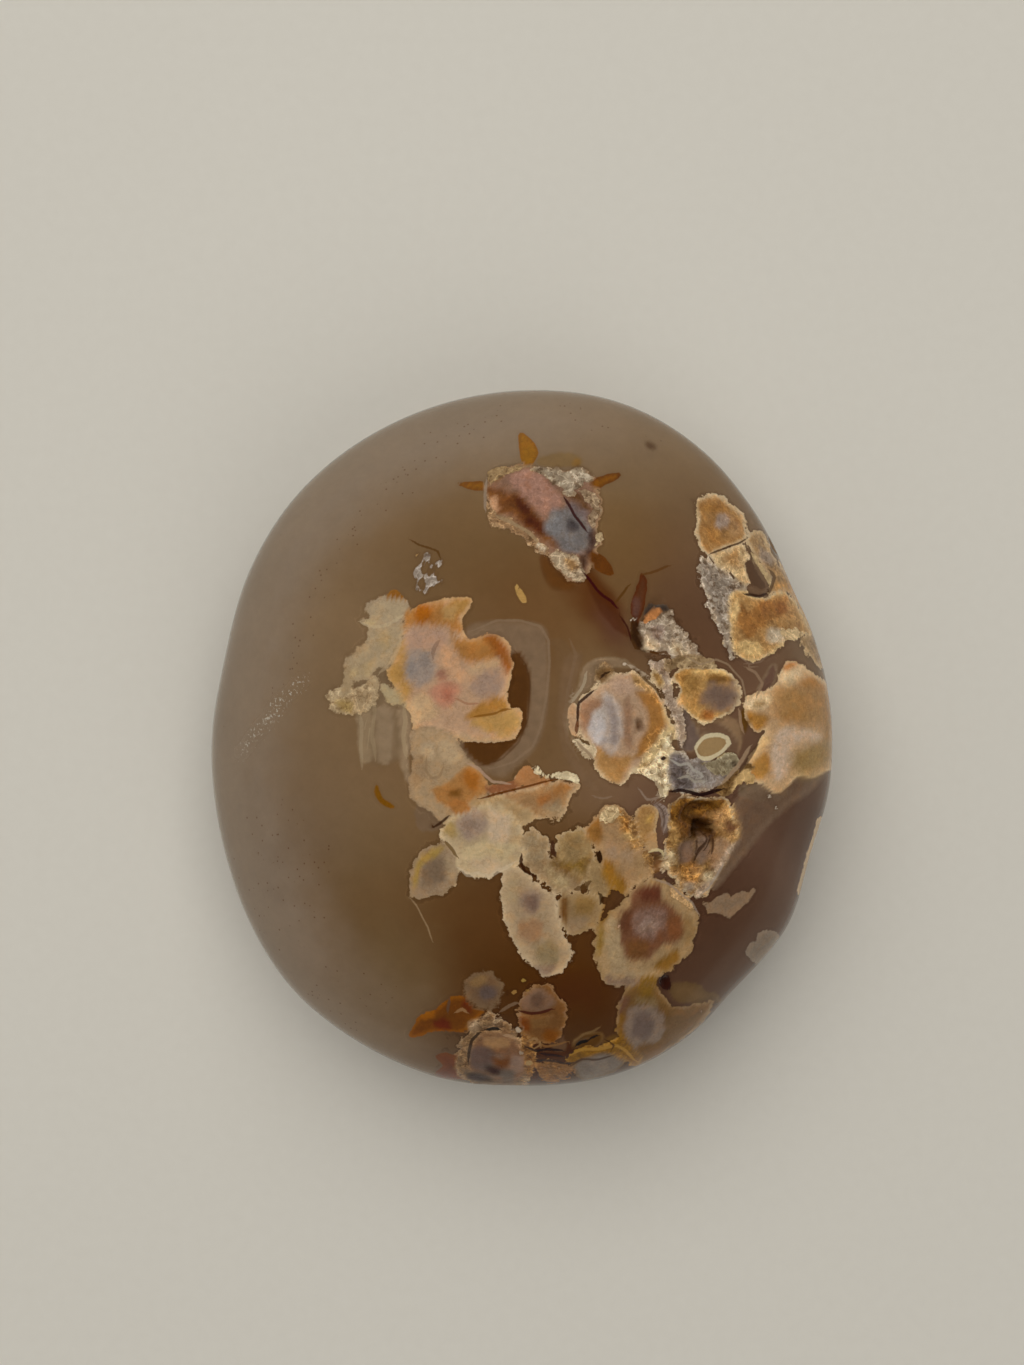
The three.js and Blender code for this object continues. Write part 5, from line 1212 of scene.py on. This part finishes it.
plume(plumes, [8.4, -23.7, 9, -22, 10.3, -21.2, 11.7, -21.4, 12.4, -22.5, 13.5, -23.4,
    15.6, -23, 16.8, -22.9, 15.9, -24.3, 14.5, -25.8, 12.8, -27, 10.7, -28.3, 9.3, -28.1,
    8.6, -26.7],
    (104, 76, 44), (122, 94, 60), 0.35, ragged=0.1, torn=0.4, pale=0.2)
shades(plumes, [
    ([8.8, -24.6, 9.7, -23.3, 11, -23, 12.3, -23.7, 12.6, -25.3, 11.7, -26.5, 10.3, -27,
     9.1, -26.3], (126, 108, 94)),
    ([9.8, -24.1, 11, -23.9, 11.6, -25, 11, -26, 10, -26, 9.5, -25.1], (104, 88, 80)),
    ([8.4, -23, 9, -22.7, 8.8, -25.3, 9.5, -27.2, 8.5, -26.3], (112, 78, 32)),
    ([10.3, -27, 12.1, -26.7, 14.2, -25.5, 15.2, -24.6, 14.7, -25.8, 12.4, -27.2, 10.9, -28.1],
     (96, 66, 32)),
    ([10, -22.6, 11.7, -22.6, 11.8, -23.2, 10.3, -23.2], (122, 100, 68)),
    ([10, -21.4, 11.6, -21.5, 11.6, -22.3, 10.2, -22.2], (116, 86, 36)),
    ([8.4, -22.5, 9.2, -22.5, 9.1, -23.7, 8.5, -23.9], (96, 68, 52)),
    ([13, -23.6, 15.7, -23.4, 14.7, -25.1, 13.1, -26.2], (104, 78, 50)),
    ([10.3, -26.7, 12.4, -26.5, 12.3, -27.6, 10.7, -27.9], (104, 70, 28)),
], ragged=0.4)
plume(plumes, [3.9, -28, 4.6, -27.2, 5.8, -26.8, 7, -26.8, 8.1, -26.2, 8.8, -25.7, 9.5, -26.7,
    10.5, -27.7, 9.8, -28.5, 8.8, -27.7, 7.4, -27.4, 6, -27.7, 4.8, -28.3],
    (112, 78, 28), (138, 100, 44), 0.25, crusty=0.5, ragged=0.1)
plume(plumes, [4.6, -28.4, 5.7, -27.7, 7.4, -27.3, 9, -28.1, 7.6, -29.1, 5.5, -29.7],
    (104, 92, 82), (92, 74, 56), 0.3, ragged=0.06, torn=0.3)
shades(plumes, [([6, -28.1, 7.4, -27.8, 7.4, -28.6, 6.2, -28.8], (116, 104, 94))])
cracks.draw([4.3, -28.5, 5.3, -27.9, 6.7, -27.8, 7.9, -27.6], 0.18, (60, 38, 18), 0.8)
cracks.draw([7.4, -26.2, 8.1, -26.7, 7.9, -27.1], 0.16, (58, 34, 12), 0.8)
plume(veils, [4.4, -26.5, 5.5, -25.6, 6.9, -25.5, 7.2, -26, 6.5, -26.9, 5.1, -27],
    (90, 60, 28), (124, 92, 54), 0.25, dense=0.95, ragged=0.06, torn=0.3)
threads.draw([4.6, -26.3, 5.5, -25.7, 6.3, -25.4, 6.9, -25], 0.18, (120, 92, 58), 0.75)
threads.draw([4.3, -27.6, 5.1, -27, 6, -27, 7, -27, 8.3, -26.7, 9.1, -27.2, 10, -28], 0.26,
    (160, 118, 50), 0.85)
# Painted shade in a dark open slit here, sunk only a little:
cracks.draw([4.8, -26.7, 5.2, -26.4, 5.8, -26.3], 0.3, (28, 16, 8), 0.95, 0.08, 0.02)
cracks.draw([6, -26.1, 6.6, -25.8], 0.2, (30, 18, 10), 0.9, 0.04, 0.02)
plume(veils, [7.2, -26.2, 8.3, -25.7, 8.6, -26.5, 7.6, -26.9],
    (110, 78, 36), dense=0.85, ragged=0.06, torn=0.2)

# Small marks that stand apart in the clear stone: pale flakes near the rim, a fleck, a
# hook, and fine hairs and arcs where thin films of chalcedony are seen edge on.

plume(plumes, [19.5, -18.6, 19.7, -18.1, 20.1, -17.7, 20.6, -17.6, 20.6, -17, 21.1, -16.8,
    21.7, -16.7, 22.3, -17, 22.3, -17.6, 21.8, -18.3, 21.2, -19, 20.6, -19.6, 20, -19.1],
    (114, 100, 86), (120, 106, 92), 0.3, ragged=0.05, torn=0.25)
plume(plumes, [-0.5, 13.4, -0.2, 13.2, 0.3, 12.5, 0.4, 11.9, 0, 12, -0.3, 12.6],
    (160, 126, 72), ragged=0.04, torn=0.15)
plume(plumes, [-12.6, -4, -12.7, -4.7, -12.3, -5.4, -11.7, -5.9, -11, -6, -11.5, -5.6,
    -12.1, -5.2, -12.3, -4.6],
    (112, 74, 20), ragged=0.03, torn=0.15, crisp=0.6)
threads.draw([-9.7, -13.8, -9.1, -14.5, -8.5, -15.6, -8.1, -16.4, -7.7, -17.6], 0.13,
    (150, 124, 92), 0.75, 0, 0.1)
threads.draw([-9.6, 17.3, -8.9, 16.9, -7.9, 16.6, -7.2, 16.3, -7, 15.7], 0.2, (88, 58, 26), 0.9,
    0, 0.04)
threads.draw([-4.5, 9.3, -2.1, 10.3, -0.1, 10.3, 1.7, 9.8, 2.4, 8.6, 2.5, 6.7, 2.2, 3.7, 1.7, 1,
    1, -0.7, -0.6, -2, -2.5, -2.6], 0.22, (134, 110, 86), 0.6, 0, 0.03)
cracks.draw([-0.6, 7.7, 0.4, 6.5, 0.8, 4.8, 0.6, 1.8, -0.2, -0.3, -1.7, -1.8, -3.5, -2.3], 0.16,
    (78, 50, 28), 0.5, 0, 0.03)
threads.draw([4.3, 8.6, 4.8, 7.3, 4.1, 4.3, 3.7, 1.7, 4.1, -0.3, 5, -1.8], 0.3, (124, 98, 74),
    0.5, 0, 0.05)
plume(plumes, [26, -6.9, 27.2, -7.6, 27.8, -9, 27.7, -10.5, 26.9, -11.9, 25.8, -13.1,
    24.1, -13.5, 24.5, -11.6, 25, -9.8, 25.5, -8.4],
    (158, 132, 100), (176, 150, 116), 0.3, ragged=0.05, torn=0.2)
threads.draw([14.2, 7.3, 15.6, 6.5, 17, 6.9, 18, 6.5, 19.2, 5.1, 19.6, 3.4], 0.16,
    (146, 122, 96), 0.7, 0, 0.06)
threads.draw([19.1, 7.1, 19.9, 6.5, 20.8, 6.7, 21.5, 7.3], 0.16, (128, 104, 84), 0.7, 0, 0.06)
threads.draw([10.3, -4.4, 11, -5.3, 12.3, -5], 0.18, (150, 130, 112), 0.6, 0, 0.06)
threads.draw([6.3, -5, 7.2, -5.2, 7.9, -5], 0.16, (140, 118, 98), 0.5, 0, 0.06)

# White beads in a loose cluster in the clear stone, and an amber one: small balls of
# quartz that grew apart from the flowers.

for x, y, size in (
    (-8.2, 15.9, 0.34), (-7.8, 15.1, 0.24), (-7.1, 15.3, 0.3), (-9, 14.4, 0.4),
    (-8.3, 14.2, 0.22), (-7.7, 14.6, 0.2), (-7.8, 13.7, 0.46), (-7, 13.8, 0.2),
    (-9.1, 13.2, 0.28), (-8.3, 12.8, 0.24), (-8.7, 15.1, 0.18), (-7.3, 14.4, 0.14),
):
    plume(crusts, uneven_round(x, y, 1.15 * size, int(500 * size)),
          (140, 126, 112), (166, 152, 138), 0.12, crusty=0.8, ragged=0.08, torn=0.25)
plume(crusts, uneven_round(-9, 16, 0.2, 3), (160, 126, 80), ragged=0.02, torn=0.1)

# Beads that stand alone, of the same kind: cream, amber and pale ones, and dark dots
# of painted shade where the stone has a pinhole.

for x, y, size, colour in (
    (-0.2, -25.3, 0.26, (178, 158, 134)), (0, -27.3, 0.22, (152, 132, 112)),
    (0.7, -28.2, 0.3, (160, 128, 84)), (-0.6, -22, 0.25, (150, 112, 60)),
    (0.6, -21.9, 0.2, (150, 112, 60)), (0.2, -21, 0.22, (150, 120, 60)),
    (21.6, -5, 0.22, (190, 175, 155)), (12.6, -10.3, 0.26, (188, 164, 132)),
    (12.3, -11.5, 0.26, (188, 164, 132)), (22.2, -6, 0.16, (180, 166, 146)),
    (8.6, -16.3, 0.2, (180, 145, 115)), (5.8, 22.8, 0.25, (206, 190, 165)),
    (15.6, -23.7, 0.18, (160, 140, 118)), (9, 6.5, 0.2, (190, 172, 150)),
    (16.6, 13.6, 0.2, (170, 156, 140)), (16.9, 12.1, 0.22, (168, 154, 138)),
    (-7.7, -7.6, 0.18, (70, 46, 30)), (10, -6.8, 0.16, (80, 54, 34)),
    (21.1, 3.2, 0.16, (150, 120, 84)), (18.1, 2.3, 0.15, (70, 46, 26)),
    (18.6, 3.5, 0.15, (76, 50, 28)), (12.4, -1.7, 0.24, (60, 44, 38)),
    (18.6, -2.2, 0.22, (60, 46, 38)), (-10.5, 2.8, 0.18, (90, 66, 40)),
):
    plume(crusts, uneven_round(x, y, size, int(100 * size)), colour, ragged=0.02, torn=0.08)

# The open hollows, where the stone was never filled: the brown one with its throat and its
# pink floor, and the small pits beside the flowers, as deep as they are narrow.


def hollow(place, along, across, turn, depth, floor=0.5):
    """Sinks an uneven bowl: full depth over the floor's share of it, then up to the rim."""
    near = np.flatnonzero(to_mark & (np.hypot(*(chart - place).T) < 2 * max(along, across)))
    x, y = (chart[near] + 0.3 * wobble[near] * min(across, 1) - place).T
    c, s = math.cos(math.radians(turn)), math.sin(math.radians(turn))
    reach = np.hypot((x * c + y * s) / along, (y * c - x * s) / across)
    relief[near] -= depth * (1 - smooth_step(floor, 1.0, reach)) * (1 + 0.25 * ripple[near])


hollow((15.7, -6.4), 2.0, 1.4, 8, 1.2)
hollow((15.8, -7.9), 1.15, 0.8, 0, 1.9, 0.4)
hollow((14.9, -10.2), 1.3, 2.1, -10, 0.7, 0.6)
hollow((11.7, -10.8), 0.75, 0.7, 30, 0.7, 0.4)
hollow((10.3, 1.1), 0.35, 0.8, -5, 0.5, 0.3)
hollow((7.1, 5.5), 0.45, 0.4, 0, 0.4, 0.3)
hollow((12.5, -21.1), 0.5, 0.45, 0, 0.4, 0.3)
hollow((11.8, 11.7), 0.9, 0.4, 10, 0.25, 0.3)

# The underside: the same ground with a few plumes of the same kinds, each a round flower with
# a paler or darker edge and a small heart off its middle.

UNDER_PLUMES = (
    (-11.0, 9.5, 4.6, 3, (168, 132, 96), (158, 122, 82), (148, 124, 112)),
    (3.5, 15.5, 3.6, 5, (150, 124, 94), (168, 146, 112), (120, 98, 84)),
    (13.5, 7.0, 4.8, 8, (156, 120, 80), (184, 156, 116), (140, 100, 60)),
    (-4.5, -8.5, 4.2, 13, (172, 150, 120), (150, 130, 98), (134, 110, 92)),
    (9.0, -11.0, 5.0, 21, (142, 112, 78), (158, 128, 86), (112, 80, 60)),
    (-14.5, -12.0, 3.0, 34, (150, 126, 96), (140, 116, 84), (112, 90, 76)),
    (1.0, -21.0, 3.8, 55, (132, 104, 72), (150, 122, 82), (104, 82, 68)),
    (19.0, -3.0, 3.4, 89, (150, 116, 76), (178, 148, 104), (128, 96, 64)),
)

to_mark[:] = smooth_points[:, 2] < GIRDLE_HEIGHT - 0.5
chart[to_mark] = smooth_points[to_mark, :2]  # seen straight from below
for x, y, size, seed, body, edge, heart in UNDER_PLUMES:
    plume(plumes, uneven_round(x, y, size, seed), body, edge, 0.8, ragged=0.35, crusty=0.2,
          dabs=[((x + 0.2 * size, y), 0.42 * size, 0.34 * size, 20.0 * seed, heart, 0.9)])

# The stone's mesh: the net pressed into its hollows, roughened where crystals crust it, and
# chipped at the rim. The resting flat is left as it was ground.

coarse = cloud(smooth_points, 0.8, 61)
resting = smooth_points[:, 2] < 0.4
rough = grain * (0.07 * coarse + 0.05 * ripple - 0.05)  # crystals stand up and drop out
pressed = np.where(resting, 0.0, np.minimum(relief, 0.04) + np.minimum(rough, 0.03))
stone_points = smooth_points + normals * pressed[:, None]

CHIP_AZIMUTH, CHIP_RADIUS, CHIP_BITE, CHIP_UP = 37.1, 1.3, 0.5, 1.2  # a chip out of the rim
chip_way = math.radians(CHIP_AZIMUTH)
chip_away = float(outline_radius(CHIP_AZIMUTH)) - CHIP_BITE + CHIP_RADIUS
chip_middle = np.array([chip_away * math.cos(chip_way), chip_away * math.sin(chip_way),
                        GIRDLE_HEIGHT + CHIP_UP])
from_chip = stone_points - chip_middle
chip_gap = np.linalg.norm(from_chip, axis=1)[:, None]
stone_points = np.where(chip_gap < CHIP_RADIUS, chip_middle + from_chip * CHIP_RADIUS / chip_gap,
                        stone_points)

mesh = bpy.data.meshes.new("palm_stone_dressed")
middle = np.array([[0.0, 0.0, 0.0]])
mesh.from_pydata((np.vstack([stone_points, middle]) / 1000).tolist(), [], net_faces())
mesh.polygons.foreach_set("use_smooth", np.ones(len(mesh.polygons), bool))
stone = bpy.data.objects.new("stone", mesh)
bpy.context.scene.collection.objects.link(stone)

WHITE = 0.86  # how bright pure white would look in the soft light
lit = WHITE * (1 + 0.2 * (normals[:, 1:2] - 0.6 * normals[:, :1]))  # brighter at the far left
sheen = 0.006 + 0.022 * (1 - np.clip(normals[:, 2:], 0, 1)) ** 1.5  # light that the polish adds


def own_colour(tones):
    """The stone's own colour from a tone as it is seen: less what the polish reflects, and
    over the share of white that the soft light gives."""
    return np.concatenate([np.maximum(tones[:, :3] - sheen, 0.002) / lit, tones[:, 3:]], 1)


def lay_on(name, kind, values):
    """Stores one value or colour a point on the stone's mesh, the fan's middle included."""
    layer = mesh.attributes.new(name, kind, "POINT")
    values = np.concatenate([values, values[-1:]]).astype(np.float32)
    layer.data.foreach_set("color" if kind == "FLOAT_COLOR" else "value", values.ravel())


lay_on("ground_tone", "FLOAT_COLOR", own_colour(np.column_stack([ground_tone, np.ones(count)])))
for layer in (veils, plumes, crusts):
    lay_on(layer.name, "FLOAT", layer.depth)
    lay_on(layer.name + "_tone", "FLOAT_COLOR", own_colour(layer.tone))
    lay_on(layer.name + "_edge", "FLOAT_COLOR", layer.edge)
for line in (cracks, threads):
    lay_on(line.name + "_side", "FLOAT", line.side)
    lay_on(line.name + "_half", "FLOAT", line.half)
    lay_on(line.name + "_tone", "FLOAT_COLOR", own_colour(line.tone))
lay_on("grain", "FLOAT", np.clip(grain, 0, 1))
lay_on("specks", "FLOAT", specks)
lay_on("frost_and_glints", "FLOAT", frost_and_glints)

# The stone's finish: the layers are laid over the ground in the shader, where fine noise
# tears their edges. Polished all over, dull and grained where crystals crust it.


class Flow:
    """A socket of a material, so that shader maths reads as plain sums."""

    def __init__(self, tree, socket=None):
        self.tree, self.socket = tree, socket

    def put(self, kind, settings=None, sockets=None, out=0):
        """Adds a node: its settings first, then the values or links of its sockets."""
        node = self.tree.nodes.new(kind)
        for name, value in (settings or {}).items():
            setattr(node, name, value)
        for name, value in (sockets or {}).items():
            if isinstance(value, Flow):
                self.tree.links.new(value.socket, node.inputs[name])
            else:
                node.inputs[name].default_value = value
        return Flow(self.tree, node.outputs[out] if node.outputs else None)

    def sum_of(self, operation, first, second):
        return self.put("ShaderNodeMath", {"operation": operation}, {0: first, 1: second})

    def __abs__(self):
        return self.put("ShaderNodeMath", {"operation": "ABSOLUTE"}, {0: self})

    def __add__(self, other):
        return self.sum_of("ADD", self, other)

    def __radd__(self, other):
        return self.sum_of("ADD", other, self)

    def __sub__(self, other):
        return self.sum_of("SUBTRACT", self, other)

    def __rsub__(self, other):
        return self.sum_of("SUBTRACT", other, self)

    def __mul__(self, other):
        return self.sum_of("MULTIPLY", self, other)

    def __rmul__(self, other):
        return self.sum_of("MULTIPLY", other, self)

    def step(self, low, high):
        """From 0 at low to 1 at high, level at both ends."""
        return self.put("ShaderNodeMapRange", {"interpolation_type": "SMOOTHSTEP"},
                        {"Value": self, "From Min": low, "From Max": high})

    def over(self, under, tone):
        """The tone laid over what is under it, where this mask is 1. A Mix node's sockets 6
        and 7 are its colours, and its output 2 is the mixed one."""
        return self.put("ShaderNodeMix", {"data_type": "RGBA"}, {0: self, 6: under, 7: tone}, 2)

    def shade(self, share):
        """A colour made lighter or darker by a share."""
        return self.put("ShaderNodeVectorMath", {"operation": "SCALE"}, {0: self, "Scale": share})

    def tint(self, red, green, blue):
        """A colour with its red, green and blue each made stronger or weaker."""
        return self.put("ShaderNodeVectorMath", {"operation": "MULTIPLY"},
                        {0: self, 1: (red, green, blue)})

    def parts(self):
        """The red, green and blue of a colour."""
        node = self.put("ShaderNodeSeparateColor", None, {0: self}).socket.node
        return [Flow(self.tree, part) for part in node.outputs]

    def cells(self, place, scale, out="Distance"):
        """Round cells: the distance to each one's middle, or a random colour for each."""
        return self.put("ShaderNodeTexVoronoi", None, {"Vector": place, "Scale": scale}, out)

    def attribute(self, name, out="Fac"):
        """A value, colour or density that lay_on stored on the mesh."""
        return self.put("ShaderNodeAttribute", {"attribute_name": name}, out=out)

    def noise(self, place, scale, detail=2.0, rough=0.5):
        """Cloudy noise about 0.5."""
        return self.put("ShaderNodeTexNoise", None,
                        {"Vector": place, "Scale": scale, "Detail": detail, "Roughness": rough})


def screen(red, green, blue):
    """A colour socket's value for a tone on a screen."""
    return (*light_of((red, green, blue)), 1.0)


agate = bpy.data.materials.new("flower_agate")
agate.use_nodes = True
agate.node_tree.nodes.clear()
flow = Flow(agate.node_tree)
place = flow.put("ShaderNodeTexCoord", out="Object").shade(1000.0)  # millimetres
drift = flow.noise(place, 0.16, 3.0)
cotton = flow.noise(place, 1.1, 4.0, 0.6)
torn = flow.noise(place, 2.6, 5.0, 0.7)
sand = flow.noise(place, 4.6, 3.0, 0.7)
grained = flow.attribute("grain")
lobes = flow.cells(place, 1.25)
clump = flow.noise(place, 1.5, 4.0, 0.62)
bead = flow.cells(place, 2.1)
bead_draw = flow.cells(place, 2.1, "Color").parts()[0]
frayed = (0.45 - lobes) * 0.7 + (torn - 0.5) * 1.2 + (cotton - 0.5) * 0.8
ridge = 1 - abs(flow.noise(place, 1.25, 2.5, 0.55) - 0.5).step(0.012, 0.045)
crease = 1 - abs(flow.noise(place, 0.8, 3.0, 0.65) - 0.5).step(0.004, 0.03)


def crusted(tone, crusty):
    """A tone broken into quartz: winding cream ridges, pale beads, and dark gaps."""
    lump = clump + 0.16 * bead_draw + 0.24 * torn - 0.2
    light = lump.step(0.53, 0.62) * crusty
    dark = (1 - lump.step(0.36, 0.45)) * crusty
    gap = bead.step(0.42, 0.6) * crusty
    tone = (light * 0.7).over(tone, tone.tint(1.4, 1.46, 1.54))
    tone = (dark * 0.85).over(tone, tone.tint(0.42, 0.33, 0.24))
    tone = (gap * 0.35).over(tone, tone.tint(0.5, 0.42, 0.36))
    return (ridge * crusty * 0.9).over(tone, tone.tint(1.75, 1.84, 1.96))


uneven = 0.86 + 0.3 * drift + 0.16 * cotton + 0.14 * torn
colour = flow.attribute("ground_tone", "Color").shade(uneven)
speck_away = flow.cells(place, 2.2)
speck_draw = flow.cells(place, 2.2, "Color").parts()[0]
chosen = (flow.attribute("specks") * 0.8 - speck_draw).step(-0.02, 0.02)
colour = (chosen * (1 - speck_away.step(0.1, 0.24)) * 0.8).over(colour, screen(92, 60, 36))

veil_tear = flow.attribute("veil_edge", "Color").parts()[0]
veil_depth = flow.attribute("veil") + frayed * veil_tear * 0.6
veil_mask = veil_depth.step(-0.2, 0.2) * flow.attribute("veil_tone", "Alpha")
colour = veil_mask.over(colour, flow.attribute("veil_tone", "Color").shade(0.7 + 0.6 * cotton))

plume_tear, plume_pale, plume_crust = flow.attribute("plume_edge", "Color").parts()
crisp = flow.attribute("plume_edge", "Alpha")
plume_depth = flow.attribute("plume") + frayed * plume_tear + 0.1
plume_mask = (plume_depth * crisp).step(-0.04, 0.06) * flow.attribute("plume_tone", "Alpha")
outside = 0 - plume_depth
shadow = (1 - outside.step(0.0, 0.4)) * (1 - plume_mask) * crisp * plume_tear
colour = (shadow * 0.8).over(colour, colour.tint(0.46, 0.38, 0.3))
halo = outside.step(0.24, 0.3) * (1 - outside.step(0.34, 0.42))
halo *= (cotton + drift - 0.7).step(0.2, 0.5)
colour = (halo * plume_tear * 0.9).over(colour, colour.tint(1.3, 1.32, 1.36))
glow = (1 - plume_depth.step(0.2, 1.3)) * 0.34 * crisp
cloudy = 0.3 + 0.56 * cotton + 0.36 * torn + 0.5 * sand
plume_tone = flow.attribute("plume_tone", "Color").shade(cloudy + glow * (0.3 + torn))
rust = (drift * 0.4 + cotton * 0.8 - 0.1).step(0.46, 0.66)
plume_tone = (rust * 0.5).over(plume_tone, plume_tone.tint(1.06, 0.9, 0.7))
plume_tone = (crease * torn * 0.5).over(plume_tone, plume_tone.tint(0.6, 0.48, 0.34))
plume_tone = crusted(plume_tone, plume_crust)
patchy = (cotton * 1.5 + drift - 0.75).step(0.25, 0.65) * plume_pale
rim_band = plume_depth.step(-0.02, 0.04) * (1 - plume_depth.step(0.12, 0.34))
plume_tone = (rim_band * patchy * (0.5 + 0.5 * bead_draw)).over(plume_tone, screen(206, 186, 154))
colour = plume_mask.over(colour, plume_tone)

crust_tear, _, crust_crust = flow.attribute("crust_edge", "Color").parts()
crust_depth = flow.attribute("crust") + frayed * crust_tear
crust_mask = crust_depth.step(-0.03, 0.05) * flow.attribute("crust_tone", "Alpha")
crust_shadow = (1 - (0 - crust_depth).step(0.0, 0.25)) * (1 - crust_mask) * 0.35
colour = crust_shadow.over(colour, colour.tint(0.5, 0.4, 0.3))
crust_tone = flow.attribute("crust_tone", "Color").shade(0.7 + 0.3 * torn + 0.3 * sand)
colour = crust_mask.over(colour, crusted(crust_tone, crust_crust))

for name in ("thread", "crack"):
    away = abs(flow.attribute(name + "_side"))
    line_depth = flow.attribute(name + "_half") - away + (sand - 0.5) * 0.1
    line_mask = line_depth.step(-0.05, 0.05) * flow.attribute(name + "_tone", "Alpha")
    line_tone = flow.attribute(name + "_tone", "Color").shade(0.8 + 0.4 * sand)
    colour = line_mask.over(colour, line_tone)

# Painted highlights: pale glints laid in the colour along the frosty streak.
frost_and_glint_mask = flow.attribute("frost_and_glints")
glint = (frost_and_glint_mask * 0.5 - 0.62 + (sand - 0.5) * 3.0 + (torn - 0.5) * 1.6).step(0.0, 0.25)
colour = (glint * frost_and_glint_mask.step(0.1, 0.4) * 0.8).over(colour, screen(196, 188, 172))
finish = flow.put("ShaderNodeBsdfPrincipled", None, {
    "Base Color": colour,
    "Roughness": 0.13 + 0.05 * cotton + 0.35 * grained * torn + 0.3 * frost_and_glint_mask,
    "IOR": 1.54,
    "Specular IOR Level": 0.3,
    "Subsurface Weight": 0.08,
    "Subsurface Radius": (1.0, 0.6, 0.35),
    "Subsurface Scale": 0.001,
    "Normal": flow.put("ShaderNodeBump", None, {
        "Strength": 0.4,
        "Distance": 0.0001,
        "Height": (sand + bead_draw) * (0.03 + grained * 0.7),
    }),
})
flow.put("ShaderNodeOutputMaterial", None, {"Surface": finish})
mesh.materials.append(agate)

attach(stone, "root")
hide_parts("palm_stone")

# Where the stone is shown: a plain pale floor, a camera straight above it, and soft light
# from the far side with a broad pale glow from the left.

FLOOR_SIZE = 8.0

floor_mesh = bpy.data.meshes.new("floor")
half = FLOOR_SIZE / 2
floor_mesh.from_pydata([(-half, -half, 0), (half, -half, 0), (half, half, 0), (-half, half, 0)], [],
                       [(0, 1, 2, 3)])
floor = bpy.data.objects.new("floor", floor_mesh)
bpy.context.scene.collection.objects.link(floor)
pale = bpy.data.materials.new("pale_floor")
pale.use_nodes = True
pale.node_tree.nodes.clear()
flow = Flow(pale.node_tree)
place = flow.put("ShaderNodeTexCoord", out="Object")
fine = flow.noise(place, 900.0, 3.0)
broad = flow.noise(place, 9.0, 2.0)
tone = (0.35 * fine + 0.3 * broad).over(screen(226, 222, 212), screen(214, 209, 198))
flow.put("ShaderNodeOutputMaterial", None, {"Surface": flow.put("ShaderNodeBsdfPrincipled", None, {
    "Base Color": tone,
    "Roughness": 0.85,
    "Specular IOR Level": 0.25,
})})
floor_mesh.materials.append(pale)


def soft_light(name, place, aim, size, power, tone):
    """A square panel of soft light, in watts, turned from its place to its aim."""
    data = bpy.data.lights.new(name, "AREA")
    data.shape = "SQUARE"
    data.size = size
    data.energy = power
    data.color = tone
    light = bpy.data.objects.new(name, data)
    light.location = place
    way = np.array(aim) - np.array(place)
    light.rotation_euler = (math.atan2(math.hypot(way[0], way[1]), -way[2]), 0,
                            math.atan2(way[1], way[0]) - math.pi / 2)
    light.visible_glossy = False  # only the pale surround shows in the polish
    bpy.context.scene.collection.objects.link(light)


soft_light("far_panel", (-0.08, 0.36, 0.76), (0, 0, 0), 0.9, 5.2, (1.0, 0.985, 0.95))
soft_light("left_panel", (-0.7, 0.1, 0.5), (0, 0, 0.01), 0.8, 0.4, (0.98, 0.98, 1.0))
soft_light("near_panel", (0.3, -0.55, 0.8), (0, 0, 0), 0.8, 1.8, (1.0, 0.98, 0.95))

surround = bpy.data.worlds.new("surround")
surround.use_nodes = True
surround.node_tree.nodes.clear()
flow = Flow(surround.node_tree)
way = flow.put("ShaderNodeSeparateXYZ", None, {0: flow.put("ShaderNodeTexCoord")})
right, far, up = [Flow(flow.tree, part) for part in way.socket.node.outputs]
far_left = (far * 0.8 - right * 0.6).step(-0.5, 0.9)
flow.put("ShaderNodeOutputWorld", None, {"Surface": flow.put("ShaderNodeBackground", None, {
    "Color": (1.0, 0.985, 0.95, 1),
    "Strength": 0.05 + (1 - up.step(0.0, 1.0)) * (0.1 + 0.44 * far_left),
})})
bpy.context.scene.world = surround

camera_data = bpy.data.cameras.new("camera")
camera_data.lens = 60
camera_data.sensor_width = 36
camera_data.clip_start = 0.01
camera = bpy.data.objects.new("camera", camera_data)
camera.location = EYE / 1000
bpy.context.scene.collection.objects.link(camera)
bpy.context.scene.camera = camera
bpy.context.scene.view_settings.view_transform = "Standard"

bpy.context.view_layer.update()
